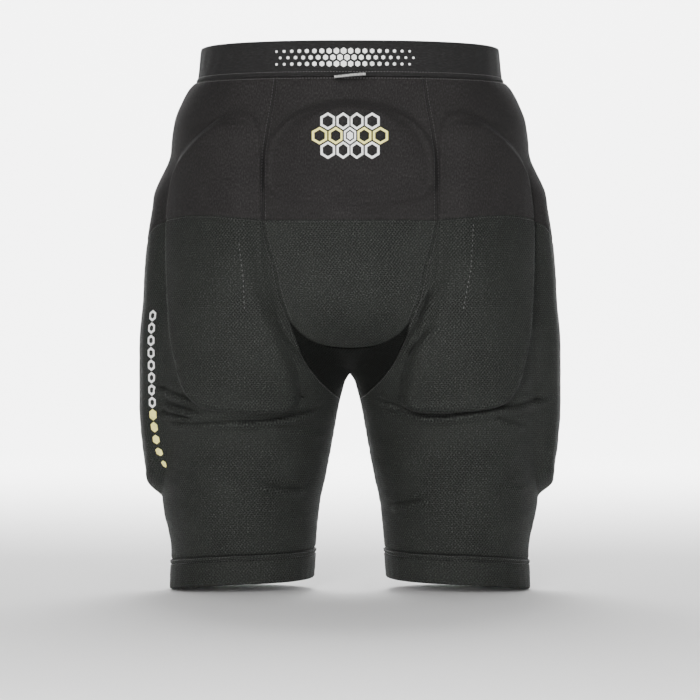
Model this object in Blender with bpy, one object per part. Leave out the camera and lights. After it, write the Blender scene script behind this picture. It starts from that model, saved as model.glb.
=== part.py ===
"""Padded protective shorts, worn form: stretch panels over foam pads, a waistband and two hems.

Metres, +Z up. The origin is the centre of the waist opening, level with the band's top edge.
+X is the wearer's right, -Y is the back and +Y the front.
"""
import bpy
import numpy as np
from mathutils import Vector
from mathutils.bvhtree import BVHTree

# Driving dimensions
LENGTH = 0.495        # waistband's top edge to the hem, at the outer side of a leg
HIP_HALF = 0.178      # half the body's width at the hips
BACK_DEPTH = 0.128    # from the side line back to the fullest of the seat
FRONT_DEPTH = 0.103   # from the side line to the belly
CROTCH_DROP = 0.292   # from the top edge down to the crotch
SEAT_DROP = 0.195     # from the top edge down to where the seat starts to round under
BLEND = 0.014         # radius that rounds the valleys between the trunk and the legs
LEG_BLEND = 0.005     # radius that rounds the valley between the two legs

BAND_HEIGHT = 0.032
BAND_WALL = 0.0028
CLOTH_WALL = 0.0015
HEM_HEIGHT = 0.027
HEM_WALL = 0.0024
SEAM_GAP = 0.0004     # between pieces that are sewn together
GUSSET_GAP = 0.0009   # the same, at the gusset, whose seams turn sharply
CLOTH_EASE = 0.0004   # between the body or a pad and the fabric over it

TAILBONE_THICK = 0.009
HIP_PAD_THICK = 0.010
SIDE_PAD_THICK = 0.0135
RIM_SHARE = 0.24      # a pad's thin rim, as a share of its thickness
PAD_CLEARANCE = 0.0025   # between a pad and the fabric's inner face
PAD_INSET = 0.0100       # from where the fabric starts to lift to the pad's edge
PAD_BASE = 0.0003        # a pad's inner face above the body
LEAST_PAD = 0.0010
RAY_START = 0.010        # how far inside the body the search for the fabric starts

TAG_WIDTH = 0.028
TAG_LENGTH = 0.0075
TAG_THICK = 0.0022
TAG_TILT = 4.0
TAG_GAP = 0.0008          # between the tag and the band that it stands out from

# The trunk's sections: drop as a share of LENGTH, width of HIP_HALF, back and front of their depths
TRUNK = (
    ("drop", "width", "back", "front"),
    (0.000, 0.752, 0.790, 0.890),
    (0.055, 0.768, 0.800, 0.900),
    (0.078, 0.823, 0.812, 0.915),
    (0.107, 0.866, 0.835, 0.935),
    (0.137, 0.896, 0.865, 0.955),
    (0.182, 0.912, 0.905, 0.985),
    (0.286, 0.922, 0.965, 1.000),
    (0.345, 0.942, 0.990, 1.000),
    (0.394, 0.950, 1.000, 1.000),
    (1.000, 0.950, 1.000, 1.000),
)
TRUNK_ROUND = 2.35
SEAT_ROUND = 2.5

# The leg sections: outer and inner edges as shares of HIP_HALF, measured from the middle
LEGS = (
    ("drop", "outer", "inner", "back", "front"),
    (0.000, 0.600, 0.060, 0.560, 0.640),
    (0.200, 0.830, 0.045, 0.770, 0.820),
    (0.300, 0.905, 0.022, 0.860, 0.890),
    (0.400, 0.955, 0.010, 0.950, 0.950),
    (0.480, 0.985, 0.006, 0.980, 0.965),
    (0.545, 1.000, 0.006, 0.965, 0.965),
    (0.597, 1.001, 0.020, 0.915, 0.955),
    (0.620, 1.001, 0.040, 0.885, 0.945),
    (0.660, 1.001, 0.068, 0.830, 0.925),
    (0.720, 0.990, 0.098, 0.770, 0.900),
    (0.790, 0.966, 0.135, 0.710, 0.860),
    (0.840, 0.957, 0.165, 0.670, 0.820),
    (0.930, 0.912, 0.190, 0.600, 0.760),
    (1.000, 0.915, 0.205, 0.575, 0.735),
)
LEG_ROUND = 2.1

# Seam lines on the back: x as a share of HIP_HALF, drop as a share of LENGTH
YOKE_SIDE_SEAM = (("x", "drop"), (0.363, 0.000), (0.372, 0.065), (0.390, 0.117), (0.413, 0.165),
                  (0.428, 0.210), (0.433, 0.325))
SEAT_SIDE_SEAM = (("x", "drop"), (0.433, 0.325), (0.410, 0.370), (0.378, 0.409), (0.346, 0.464),
                  (0.300, 0.509))
SEAT_FOOT_SEAM = (("x", "drop"), (0.300, 0.509), (0.250, 0.528), (0.195, 0.541), (0.128, 0.549),
                  (0.062, 0.552), (0.000, 0.553))
# The gusset's seam on the back of the thigh: how far it has turned from the seat's corner to the inseam
GUSSET_BACK_SEAM = (("turned", "drop"), (0.000, 0.509), (0.045, 0.540), (0.110, 0.570),
                    (0.210, 0.597), (0.370, 0.620), (0.640, 0.639), (1.000, 0.648))
# The yoke's lower seam round one side: angle in degrees from the side line, back positive
YOKE_FOOT_SEAM = (("angle", "drop"), (-180.0, 0.362), (-20.0, 0.362), (6.0, 0.358), (19.0, 0.340),
                  (30.0, 0.321), (42.0, 0.314), (62.0, 0.308), (90.0, 0.312), (128.0, 0.316))
FRONT_TIP_DROP = 0.520   # where the gusset's front point meets the centre front seam
INSEAM_DROP = 0.648      # where the gusset ends on the inner leg
HEM_SLOPE = (("angle", "lift"), (-180.0, 0.022), (-90.0, 0.010), (0.0, 0.000), (90.0, 0.016),
             (180.0, 0.022))

# Pad outlines: x as a share of HIP_HALF, drop as a share of LENGTH
TAILBONE_RIM = (("x", "drop"), (0.000, 0.112), (0.115, 0.115), (0.225, 0.126), (0.315, 0.143),
                (0.385, 0.172), (0.420, 0.205), (0.425, 0.290), (0.000, 0.298))
TAILBONE_CROWN = (("x", "drop"), (0.000, 0.124), (0.115, 0.127), (0.200, 0.140), (0.252, 0.164),
                  (0.272, 0.200), (0.278, 0.250), (0.245, 0.270), (0.000, 0.271))
HIP_RIM = (("x", "drop"), (0.440, 0.185), (0.460, 0.142), (0.530, 0.128), (0.630, 0.136),
           (0.715, 0.158), (0.800, 0.185), (0.862, 0.216), (0.890, 0.262), (0.895, 0.470),
           (0.872, 0.560), (0.838, 0.622), (0.765, 0.656), (0.680, 0.667), (0.350, 0.671),
           (0.262, 0.655), (0.270, 0.610), (0.340, 0.540), (0.400, 0.460), (0.440, 0.380))
HIP_CROWN = (("x", "drop"), (0.572, 0.190), (0.585, 0.163), (0.640, 0.156), (0.715, 0.173),
             (0.790, 0.203), (0.848, 0.236), (0.872, 0.280), (0.874, 0.470), (0.852, 0.556),
             (0.820, 0.616), (0.752, 0.650), (0.677, 0.662), (0.360, 0.667), (0.300, 0.652),
             (0.335, 0.600), (0.430, 0.510), (0.530, 0.420), (0.572, 0.330))
# The side pad's outline: angle in degrees from the side line, back positive
SIDE_RIM = (("angle", "drop"), (-46.0, 0.300), (-34.0, 0.252), (-12.0, 0.230), (14.0, 0.234),
            (28.0, 0.262), (34.0, 0.320), (34.0, 0.700), (27.0, 0.782), (8.0, 0.817),
            (-22.0, 0.812), (-42.0, 0.780), (-50.0, 0.700))
CREASE = {"tailbone": 0.005, "hip": 0.006, "side": 0.008}
FOOT_DROP = 0.640        # share of LENGTH below which the hip pad has its foot
FOOT_CREASE = 0.003      # the hip pad's foot, where the fabric tucks in
FOOT_FADE = 0.012        # over this drop the edge narrows to it
SIDE_SLOPE = 0.022       # how gently the side pad rises, except along its foot
SIDE_SLOPE_FOOT = 0.735  # share of LENGTH below which it ends in a crease
SIDE_FADE = 0.03         # over this drop a slope turns into a crease, or a lift into another
BRIDGE = 1.6             # how far the fabric spans the valley between two pads: 1 fills it
ARC = 0.105              # radius that turns an angle into a length across the fabric
MIDDLE_REACH = 0.060     # from the middle line to where the fabric is lifted straight along a ray
MIDDLE_DROP = 0.262      # down to here it is lifted straight back at the middle line
TAILBONE_FROM = np.pi / 2 - 0.2    # the tailbone pad lies past this angle
LEAST_SPAN = 1e-6        # keeps a share from being divided by nothing
TURN_STEP = 0.01         # radians to either side, and
DROP_STEP = 0.001        # up and down, between the points that give a face's normal

COLOURS = {
    "smooth": ((0.020, 0.019, 0.019, 1.0), 0.72),
    "mesh": ((0.015, 0.017, 0.016, 1.0), 0.80),
    "band": ((0.018, 0.017, 0.017, 1.0), 0.66),
    "tag": ((0.030, 0.030, 0.030, 1.0), 0.60),
    "foam": ((0.055, 0.056, 0.060, 1.0), 0.90),
}


# Tables and smooth curves

def columns(table):
    """The table's columns by name."""
    rows = np.array(table[1:], float)
    return {name: rows[:, i] for i, name in enumerate(table[0])}


def smooth_curve(knots, values, at):
    """A monotone cubic through the knots, which doesn't overshoot them."""
    steps = np.diff(knots)
    slopes = np.diff(values) / steps
    inner = np.where(slopes[1:] * slopes[:-1] > 0,
                     2 * slopes[1:] * slopes[:-1] / np.where(slopes[1:] + slopes[:-1] == 0, 1,
                                                              slopes[1:] + slopes[:-1]), 0.0)
    tangents = np.concatenate([slopes[:1], inner, slopes[-1:]])
    at = np.clip(at, knots[0], knots[-1])
    k = np.clip(np.searchsorted(knots, at, side="right") - 1, 0, len(steps) - 1)
    h = steps[k]
    t = (at - knots[k]) / h
    return (values[k] * (1 + 2 * t) * (1 - t) ** 2 + values[k + 1] * t * t * (3 - 2 * t)
            + h * tangents[k] * t * (1 - t) ** 2 + h * tangents[k + 1] * t * t * (t - 1))


def read(table, name, against, at):
    """One column of a table, read smoothly against another."""
    found = columns(table)
    return smooth_curve(found[against], found[name], at)


def along(line, count):
    """Points spaced evenly along a seam line given in shares, as metres (x, drop)."""
    found = columns(line)
    points = np.stack([found["x"] * HIP_HALF, found["drop"] * LENGTH], axis=1)
    walked = np.concatenate([[0], np.cumsum(np.linalg.norm(np.diff(points, axis=0), axis=1))])
    at = np.linspace(0, walked[-1], count)
    return np.stack([smooth_curve(walked, points[:, i], at) for i in (0, 1)], axis=1)


# The body that the shorts are worn on

def reach(dx, dy, wide, deep, power, dz=0.0, tall=1.0):
    """Distance outside a rounded section, measured along the ray from its centre."""
    share = (np.abs(dx / wide) ** power + np.abs(dy / deep) ** power
             + np.abs(dz / tall) ** SEAT_ROUND) ** (1 / power)
    length = np.sqrt(dx * dx + dy * dy + np.square(dz))
    return length * (1 - 1 / np.maximum(share, LEAST_SPAN))


def leg_section(drop):
    share = drop / LENGTH
    outer = read(LEGS, "outer", "drop", share) * HIP_HALF
    inner = read(LEGS, "inner", "drop", share) * HIP_HALF
    back = read(LEGS, "back", "drop", share) * BACK_DEPTH
    front = read(LEGS, "front", "drop", share) * FRONT_DEPTH
    return (outer + inner) / 2, (outer - inner) / 2, back, front


def outside_body(x, y, drop):
    """How far a point of one half stands outside the body: the trunk and a leg, blended."""
    centre, wide, back, front = leg_section(drop)
    leg = reach(x - centre, y, wide, np.where(y < 0, back, front), LEG_ROUND)
    share = np.minimum(drop, SEAT_DROP) / LENGTH
    trunk_wide = read(TRUNK, "width", "drop", share) * HIP_HALF
    trunk_back = read(TRUNK, "back", "drop", share) * BACK_DEPTH
    trunk_front = read(TRUNK, "front", "drop", share) * FRONT_DEPTH
    under = np.maximum(drop - SEAT_DROP, 0)
    trunk = reach(x, y, trunk_wide, np.where(y < 0, trunk_back, trunk_front), TRUNK_ROUND,
                  under, CROTCH_DROP - SEAT_DROP)
    mirrored = reach(-x - centre, y, wide, np.where(y < 0, back, front), LEG_ROUND)
    return rounded_union(rounded_union(leg, trunk, BLEND), mirrored, LEG_BLEND)


def rounded_union(a, b, radius):
    h = np.clip(0.5 + 0.5 * (b - a) / radius, 0, 1)
    return b * (1 - h) + a * h - radius * h * (1 - h)


def body_radius(turn, drop):
    """From the leg's centre to its half's surface, on the ray at this angle (radians)."""
    centre = leg_section(drop)[0]
    low = np.full(np.shape(turn), 0.02)
    high = np.full(np.shape(turn), 0.26)
    for _ in range(34):
        middle = (low + high) / 2
        x = centre + middle * np.cos(turn)
        inside = (outside_body(x, -middle * np.sin(turn), drop) < 0) & (x > -0.002)
        low = np.where(inside, middle, low)
        high = np.where(inside, high, middle)
    return (low + high) / 2


def turn_at(x, drop, back=True):
    """The ray's angle that meets the body at this x, on the back or the front."""
    centre = leg_section(drop)[0]
    side = -1.0 if back else 1.0
    low = np.zeros(np.shape(x))
    high = np.full(np.shape(x), 0.2)
    for _ in range(34):
        middle = (low + high) / 2
        inside = outside_body(x, side * middle, drop) < 0
        low = np.where(inside, middle, low)
        high = np.where(inside, high, middle)
    return np.arctan2(-side * (low + high) / 2, x - centre)


# The relief of the pads under the fabric

def outline_of(rim):
    """A pad's outline as (length across, drop) points."""
    found = columns(rim)
    drops = found["drop"] * LENGTH
    if "angle" in found:
        return np.stack([np.radians(found["angle"]) * ARC, drops], axis=1)
    if rim in (TAILBONE_RIM, TAILBONE_CROWN):
        half = np.stack([found["x"] * HIP_HALF, drops], axis=1)
        return np.concatenate([half, half[::-1] * (-1, 1)])
    return np.stack([turn_at(found["x"] * HIP_HALF, drops) * ARC, drops], axis=1)


def depth_inside(across, drop, outline):
    """Distance inside a closed outline, negative outside."""
    ends = np.roll(outline, -1, axis=0)
    nearest = np.full(np.shape(across), 1.0)
    inside = np.zeros(np.shape(across), bool)
    for (ax, ad), (bx, bd) in zip(outline, ends):
        ex, ed = bx - ax, bd - ad
        square = ex * ex + ed * ed
        if square < 1e-12:
            continue
        t = np.clip(((across - ax) * ex + (drop - ad) * ed) / square, 0, 1)
        nearest = np.minimum(nearest, np.hypot(across - ax - t * ex, drop - ad - t * ed))
        if ed != 0:
            crosses = (ad > drop) != (bd > drop)
            inside ^= crosses & (across < ax + ex * (drop - ad) / ed)
    return np.where(inside, nearest, -nearest)


def swell(depth, width):
    """0 outside an edge, 1 inside it, and smooth across its width."""
    t = np.clip(depth / width * 0.5 + 0.5, 0, 1)
    return t * t * (3 - 2 * t)


OUTLINES = {name: outline_of(rim) for name, rim in (
    ("tailbone", TAILBONE_RIM), ("tailbone_crown", TAILBONE_CROWN),
    ("hip", HIP_RIM), ("hip_crown", HIP_CROWN), ("side", SIDE_RIM))}


def crease_width(name, drop):
    """How wide a pad's edge is at this drop: narrow along the hip pad's foot."""
    foot = swell(drop - FOOT_DROP * LENGTH, FOOT_FADE) if name == "hip" else 0.0
    return CREASE[name] + (FOOT_CREASE - CREASE[name]) * foot


def pad_height(name, turn, x, drop):
    across = x if name == "tailbone" else turn * ARC
    inside = depth_inside(across, drop, OUTLINES[name])
    if name == "side":
        gentle = swell(SIDE_SLOPE_FOOT * LENGTH - drop, SIDE_FADE)
        return SIDE_PAD_THICK * swell(inside, CREASE[name] + (SIDE_SLOPE - CREASE[name]) * gentle)
    rim = swell(inside, crease_width(name, drop))
    thick = TAILBONE_THICK if name == "tailbone" else HIP_PAD_THICK
    outside = np.maximum(-depth_inside(across, drop, OUTLINES[name + "_crown"]), 0)
    crown = np.clip(inside / np.maximum(inside + outside, LEAST_SPAN), 0, 1)
    crown = (crown + crown * crown * (3 - 2 * crown)) / 2
    return thick * (RIM_SHARE * rim + (1 - RIM_SHARE) * crown)


def relief(turn, x, drop):
    """The height of whatever lies between the body and the fabric."""
    tailbone = np.where(turn > TAILBONE_FROM, pad_height("tailbone", turn, x, drop), 0)
    hip, side = (pad_height(name, turn, x, drop) for name in ("hip", "side"))
    return np.maximum(tailbone, (hip ** BRIDGE + side ** BRIDGE) ** (1 / BRIDGE))


# Points on the garment, on the half with x > 0

def place(turn, drop, lift, height=None):
    """The point at this angle and drop, lifted from the body by the relief and more."""
    spot, away = on_body(turn, drop)
    if height is None:
        height = relief(turn, spot[..., 0], drop)
    return spot + away * np.asarray(height + lift)[..., None]


def on_body(turn, drop):
    """The body's point on this ray, and the level direction that fabric is lifted in there."""
    centre = leg_section(drop)[0]
    radius = body_radius(turn, drop)
    x = centre + radius * np.cos(turn)
    near_middle = np.square(1 - np.clip(x / MIDDLE_REACH, 0, 1))
    sideways = np.cos(turn) * (1 - near_middle * swell(MIDDLE_DROP - drop, SIDE_FADE))
    length = np.hypot(sideways, np.sin(turn))
    away = np.stack([sideways / length, -np.sin(turn) / length, 0 * length], axis=-1)
    return np.stack([x, -radius * np.sin(turn), -drop + 0 * x], axis=-1), away


def walls(turn, drop, lift, wall):
    """The outer and inner faces of a wall whose inner face is lifted this far."""
    def at(turn_step, drop_step):
        return place(turn + turn_step, drop + drop_step, lift)

    across = at(TURN_STEP, 0) - at(-TURN_STEP, 0)
    down = at(0, DROP_STEP) - at(0, -DROP_STEP)
    normal = np.cross(across, down)
    normal /= np.linalg.norm(normal, axis=-1, keepdims=True)
    inner = at(0, 0)
    outwards = np.stack([np.cos(turn), -np.sin(turn), 0 * turn], axis=-1)
    normal *= np.sign((normal * outwards).sum(axis=-1, keepdims=True))
    return inner + normal * wall, inner


def back_grid(x, drop):
    """Angles of a grid given by x and drop on the back; x may be either side of the middle."""
    return turn_at(np.abs(x), drop)


def mirrored(points, x):
    return np.where((x < 0)[..., None], points * (-1, 1, 1), points)


# Seams in angle and drop

def yoke_foot(turn):
    return read(YOKE_FOOT_SEAM, "drop", "angle", np.degrees(turn)) * LENGTH


def hem_drop(turn, above):
    lift = read(HEM_SLOPE, "lift", "angle", np.degrees(turn)) * LENGTH
    return LENGTH - lift - above


def inseam_shares(rows):
    """Rows down the inseam, closest together under the pads' lower edges."""
    return np.linspace(0, 1, rows + 1) ** 1.3


def leg_back_edge(rows):
    """The leg panel's back edge: the seat seam, the gusset seam, then the inseam."""
    seat, gusset, inseam = rows
    side = along(SEAT_SIDE_SEAM, seat + 1)
    turns = turn_at(side[:, 0], side[:, 1])
    seam = columns(GUSSET_BACK_SEAM)
    knots = np.arange(len(seam["drop"]))
    at = np.linspace(0, knots[-1], gusset + 1)[1:-1]
    crotch_turns = turns[-1] + (np.pi - turns[-1]) * smooth_curve(knots, seam["turned"], at)
    crotch_drops = smooth_curve(knots, seam["drop"] * LENGTH, at)
    foot = hem_drop(np.pi, HEM_HEIGHT)
    low = INSEAM_DROP * LENGTH + (foot - INSEAM_DROP * LENGTH) * inseam_shares(inseam)
    return (np.concatenate([turns, crotch_turns, np.full(inseam + 1, np.pi)]),
            np.concatenate([side[:, 1], crotch_drops, low]))


def front_middle_turn(drop):
    """The angle of the ray that meets the centre front."""
    return turn_at(np.zeros(np.shape(drop)), drop, back=False)


def leg_front_edge(rows):
    """The leg panel's front edge: the centre front, the gusset seam, then the inseam."""
    seat, gusset, inseam = rows
    top, tip = yoke_foot(np.float64(-np.pi)), FRONT_TIP_DROP * LENGTH
    middle = np.linspace(top, tip, seat + 1)
    middle_turns = front_middle_turn(middle)
    share = np.linspace(0, 1, gusset + 1)[1:-1]
    end_turn = -np.pi
    crotch_turns = middle_turns[-1] + (end_turn - middle_turns[-1]) * share ** 1.5
    crotch_drops = tip + (INSEAM_DROP * LENGTH - tip) * share ** 0.8
    foot = hem_drop(np.pi, HEM_HEIGHT)
    low = INSEAM_DROP * LENGTH + (foot - INSEAM_DROP * LENGTH) * inseam_shares(inseam)
    return (np.concatenate([middle_turns, crotch_turns, np.full(inseam + 1, end_turn)]),
            np.concatenate([middle, crotch_drops, low]))


# Grids of angle and drop for the panels

YOKE_COLUMNS = np.array([0, 0.05, 0.10, 0.15, 0.20, 0.26, 0.31, 0.345, 0.375, 0.41, 0.46, 0.52,
                         0.58, 0.64, 0.70, 0.76, 0.84, 0.92, 1.0])
CENTRE_COLUMNS = np.array([-1, -0.84, -0.68, -0.57, -0.38, -0.19, 0, 0.19, 0.38, 0.57, 0.68,
                           0.84, 1])
YOKE_ROWS = np.array([0, 0.12, 0.20, 0.28, 0.38, 0.48, 0.60, 0.72, 0.83, 0.91, 1.0])
LEG_ROWS = (6, 6, 10)


def yoke_side_grid():
    seam = columns(YOKE_SIDE_SEAM)
    foot = seam["drop"][-1] * LENGTH
    drops_back = BAND_HEIGHT + (foot - BAND_HEIGHT) * YOKE_ROWS
    x = smooth_curve(seam["drop"] * LENGTH, seam["x"] * HIP_HALF, drops_back)
    first = turn_at(x, drops_back)
    last_drops = BAND_HEIGHT + (yoke_foot(np.float64(-np.pi)) - BAND_HEIGHT) * YOKE_ROWS
    last = front_middle_turn(last_drops)
    turn = first[:, None] + (last - first)[:, None] * YOKE_COLUMNS[None, :]
    lowest = seam_drops(turn[-1], foot)
    drop = BAND_HEIGHT + (lowest[None, :] - BAND_HEIGHT) * YOKE_ROWS[:, None]
    return turn, drop


def seam_drops(turn, corner):
    """The yoke's lower seam at these angles, meeting the corner's drop at its first end."""
    found = yoke_foot(turn)
    return found + (corner - found[0]) * np.linspace(1, 0, len(turn)) ** 3


def yoke_centre_grid():
    seam = columns(YOKE_SIDE_SEAM)
    foot = seam["drop"][-1] * LENGTH
    drops = BAND_HEIGHT + (foot - BAND_HEIGHT) * YOKE_ROWS
    half = smooth_curve(seam["drop"] * LENGTH, seam["x"] * HIP_HALF, drops)
    x = half[:, None] * CENTRE_COLUMNS[None, :]
    drop = np.repeat(drops[:, None], len(CENTRE_COLUMNS), axis=1)
    return x, drop


def seat_grid():
    """x and drop from the yoke's seam down to the seat's foot seam."""
    side = along(SEAT_SIDE_SEAM, LEG_ROWS[0] + 1)
    foot_line = columns(SEAT_FOOT_SEAM)
    foot_x = np.abs(CENTRE_COLUMNS) * side[-1, 0]
    order = np.argsort(foot_line["x"])
    foot_drop = smooth_curve(foot_line["x"][order] * HIP_HALF, foot_line["drop"][order] * LENGTH,
                             foot_x)
    share = np.linspace(0, 1, LEG_ROWS[0] + 1)
    x = side[:, :1] * CENTRE_COLUMNS[None, :]
    straight = np.repeat(side[:, 1:], len(CENTRE_COLUMNS), axis=1)
    drop = straight + (foot_drop - side[-1, 1])[None, :] * share[:, None] ** 1.5
    return x, drop


def leg_grid():
    back_turns, back_drops = leg_back_edge(LEG_ROWS)
    front_turns, front_drops = leg_front_edge(LEG_ROWS)
    t = YOKE_COLUMNS[None, :]
    turn = back_turns[0] + (front_turns[0] - back_turns[0]) * t
    turn = turn + (back_turns - back_turns[0])[:, None] * (1 - t) ** 4
    turn = turn + (front_turns - front_turns[0])[:, None] * t ** 4
    share = (back_drops - back_drops[0]) / (back_drops[-1] - back_drops[0])
    top = seam_drops(yoke_side_grid()[0][-1], back_drops[0])
    bottom = hem_drop(turn[-1], HEM_HEIGHT)
    drop = top[None, :] + (bottom - top)[None, :] * share[:, None]
    drop = drop + (back_drops - drop[:, 0])[:, None] * (1 - t) ** 4
    return turn, drop + (front_drops - drop[:, -1])[:, None] * t ** 4


# Closed solids from grids of points

def inset(points, closed, gap=SEAM_GAP):
    """Moves a grid's free edges inwards by half the gap."""
    moved = points.copy()
    half = gap / 2

    def step(edge, inner):
        way = inner - edge
        return edge + way * half / np.maximum(np.linalg.norm(way, axis=-1, keepdims=True), 1e-9)

    moved[0] = step(moved[0], moved[1])
    moved[-1] = step(moved[-1], moved[-2])
    if not closed:
        moved[:, 0] = step(moved[:, 0], moved[:, 1])
        moved[:, -1] = step(moved[:, -1], moved[:, -2])
    return moved


def slab(name, outer, inner, material, closed=False, sewn_from=None):
    """One closed solid between two grids; sewn_from joins the side edges from that row down."""
    rows, across = outer.shape[:2]
    outer, inner = inset(outer, closed), inset(inner, closed)
    index = np.arange(rows * across).reshape(rows, across)
    if sewn_from is not None:
        index[sewn_from:, -1] = index[sewn_from:, 0]
        for face in (outer, inner):
            face[sewn_from:, 0] = (face[sewn_from:, 0] + face[sewn_from:, -1]) / 2
    if closed:
        index = np.concatenate([index, index[:, :1]], axis=1)
    size = rows * across
    faces = []
    for i in range(rows - 1):
        for j in range(index.shape[1] - 1):
            a, b, c, d = index[i, j], index[i, j + 1], index[i + 1, j + 1], index[i + 1, j]
            faces += [(a, b, c, d), (a + size, d + size, c + size, b + size)]
    loops = [[(index[0, j], index[0, j + 1]) for j in range(index.shape[1] - 1)],
             [(index[-1, j + 1], index[-1, j]) for j in range(index.shape[1] - 1)]]
    if not closed:
        last = rows - 1 if sewn_from is None else sewn_from
        loops += [[(index[i + 1, 0], index[i, 0]) for i in range(last)],
                  [(index[i, -1], index[i + 1, -1]) for i in range(last)]]
    for loop in loops:
        faces += [(b, a, a + size, b + size) for a, b in loop]
    make(name, np.concatenate([outer.reshape(-1, 3), inner.reshape(-1, 3)]), faces, material)


def make(name, points, faces, material):
    mesh = bpy.data.meshes.new(name)
    used = np.unique([i for face in faces for i in face])
    renumber = {int(old): new for new, old in enumerate(used)}
    mesh.from_pydata([tuple(map(float, points[i])) for i in used], [],
                     [[renumber[int(i)] for i in dict.fromkeys(face)] for face in faces])
    mesh.validate()
    mesh.materials.append(material)
    thing = bpy.data.objects.new(name, mesh)
    bpy.context.scene.collection.objects.link(thing)
    face_outwards(mesh)
    mesh.shade_smooth()
    mesh.set_sharp_from_angle(angle=np.radians(50))


def face_outwards(mesh):
    """Turns the faces round if they point inwards."""
    points = np.array([v.co for v in mesh.vertices])
    volume = 0.0
    for face in mesh.polygons:
        corners = points[list(face.vertices)]
        for i in range(1, len(corners) - 1):
            volume += np.dot(corners[0], np.cross(corners[i], corners[i + 1]))
    if volume < 0:
        mesh.flip_normals()


def material_of(name):
    colour, roughness = COLOURS[name]
    made = bpy.data.materials.new(name)
    made.use_nodes = True
    shader = made.node_tree.nodes["Principled BSDF"]
    shader.inputs["Base Color"].default_value = colour
    shader.inputs["Roughness"].default_value = roughness
    shader.inputs["Metallic"].default_value = 0.0
    made.diffuse_color = colour
    return made


# The pieces

SIDES = (("left", -1), ("right", 1))


def fabric_panels(smooth, mesh):
    x, drop = yoke_centre_grid()
    outer, inner = walls(back_grid(x, drop), drop, CLOTH_EASE, CLOTH_WALL)
    slab("yoke_centre", mirrored(outer, x), mirrored(inner, x), smooth)
    x, drop = seat_grid()
    outer, inner = walls(back_grid(x, drop), drop, CLOTH_EASE, CLOTH_WALL)
    slab("seat_panel", mirrored(outer, x), mirrored(inner, x), mesh)
    for side, sign in SIDES:
        outer, inner = walls(*yoke_side_grid(), CLOTH_EASE, CLOTH_WALL)
        on_centre_line(outer, inner, len(outer))
        slab("yoke_" + side, outer * (sign, 1, 1), inner * (sign, 1, 1), smooth)
        outer, inner = walls(*leg_grid(), CLOTH_EASE, CLOTH_WALL)
        on_centre_line(outer, inner, LEG_ROWS[0] + 1)
        slab("leg_" + side, outer * (sign, 1, 1), inner * (sign, 1, 1), mesh,
             sewn_from=LEG_ROWS[0] + LEG_ROWS[1])


def on_centre_line(outer, inner, rows):
    """Puts the last column of the first rows on the centre front."""
    for face in (outer, inner):
        face[:rows, -1, 0] = 0


def gusset_panel(material):
    """The crotch piece, from the seat's foot seam under to its front point."""
    seat, gusset, _ = LEG_ROWS
    turn, drop = leg_grid()
    back = place(turn[seat:seat + gusset + 1, 0], drop[seat:seat + gusset + 1, 0], CLOTH_EASE)
    front = place(turn[seat:seat + gusset + 1, -1], drop[seat:seat + gusset + 1, -1], CLOTH_EASE)
    edge = np.concatenate([back, front[-2::-1]])
    x, foot = seat_grid()
    top = mirrored(place(back_grid(x[-1], foot[-1]), foot[-1], CLOTH_EASE), x[-1])
    tip = edge[-1]
    across = CENTRE_COLUMNS
    share = np.linspace(0, 1, len(edge))
    inner = np.zeros((len(edge), len(across), 3))
    bow = top - (edge[0] * (-1, 1, 1) + (edge[0] - edge[0] * (-1, 1, 1))
                 * (across[:, None] + 1) / 2)
    for i, s in enumerate(share):
        right = edge[i]
        left = right * (-1, 1, 1)
        row = left + (right - left) * (across[:, None] + 1) / 2
        inner[i] = row + bow * (1 - s) ** 2
    inner[1:-1, 1:-1] = cast_onto_body(inner[1:-1, 1:-1])
    inner[-1] = tip
    normal = outward(inner)
    normal[-1] = normal[-1, len(across) // 2]
    slab_with_tip("gusset", inner + normal * CLOTH_WALL, inner, material)


def cast_onto_body(points):
    """Points moved onto the fabric's inner level, on rays from the middle of the seat."""
    core = np.array([0.0, 0.0, -SEAT_DROP])
    ways = points - core
    ways /= np.linalg.norm(ways, axis=-1, keepdims=True)
    low, high = np.full(points.shape[:-1], 0.02), np.full(points.shape[:-1], 0.22)
    for _ in range(34):
        middle = (low + high) / 2
        inside = half_level(core + ways * middle[..., None]) < 0
        low, high = np.where(inside, middle, low), np.where(inside, high, middle)
    found = core + ways * low[..., None]
    return found + outward(found) * CLOTH_EASE


def half_level(points):
    return outside_body(np.abs(points[..., 0]), points[..., 1], -points[..., 2])


def outward(points):
    step = 0.0008
    slopes = [half_level(points + way) - half_level(points - way)
              for way in np.eye(3) * step]
    normal = np.stack(slopes, axis=-1)
    return normal / np.maximum(np.linalg.norm(normal, axis=-1, keepdims=True), 1e-12)


def slab_with_tip(name, outer, inner, material):
    """A closed solid between two grids whose last row is one point."""
    outer, inner = inset(outer, False, GUSSET_GAP), inset(inner, False, GUSSET_GAP)
    rows, across = outer.shape[:2]
    middle = across // 2
    index = np.arange(rows * across).reshape(rows, across)
    index[-1] = index[-1, middle]
    size = rows * across
    faces = []
    for i in range(rows - 1):
        for j in range(across - 1):
            face = (index[i, j], index[i, j + 1], index[i + 1, j + 1], index[i + 1, j])
            faces += [face, tuple(k + size for k in face[::-1])]
    loops = [[(index[0, j], index[0, j + 1]) for j in range(across - 1)],
             [(index[i + 1, 0], index[i, 0]) for i in range(rows - 1)],
             [(index[i, -1], index[i + 1, -1]) for i in range(rows - 1)]]
    for loop in loops:
        faces += [(b, a, a + size, b + size) for a, b in loop]
    make(name, np.concatenate([outer.reshape(-1, 3), inner.reshape(-1, 3)]), faces, material)


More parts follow.
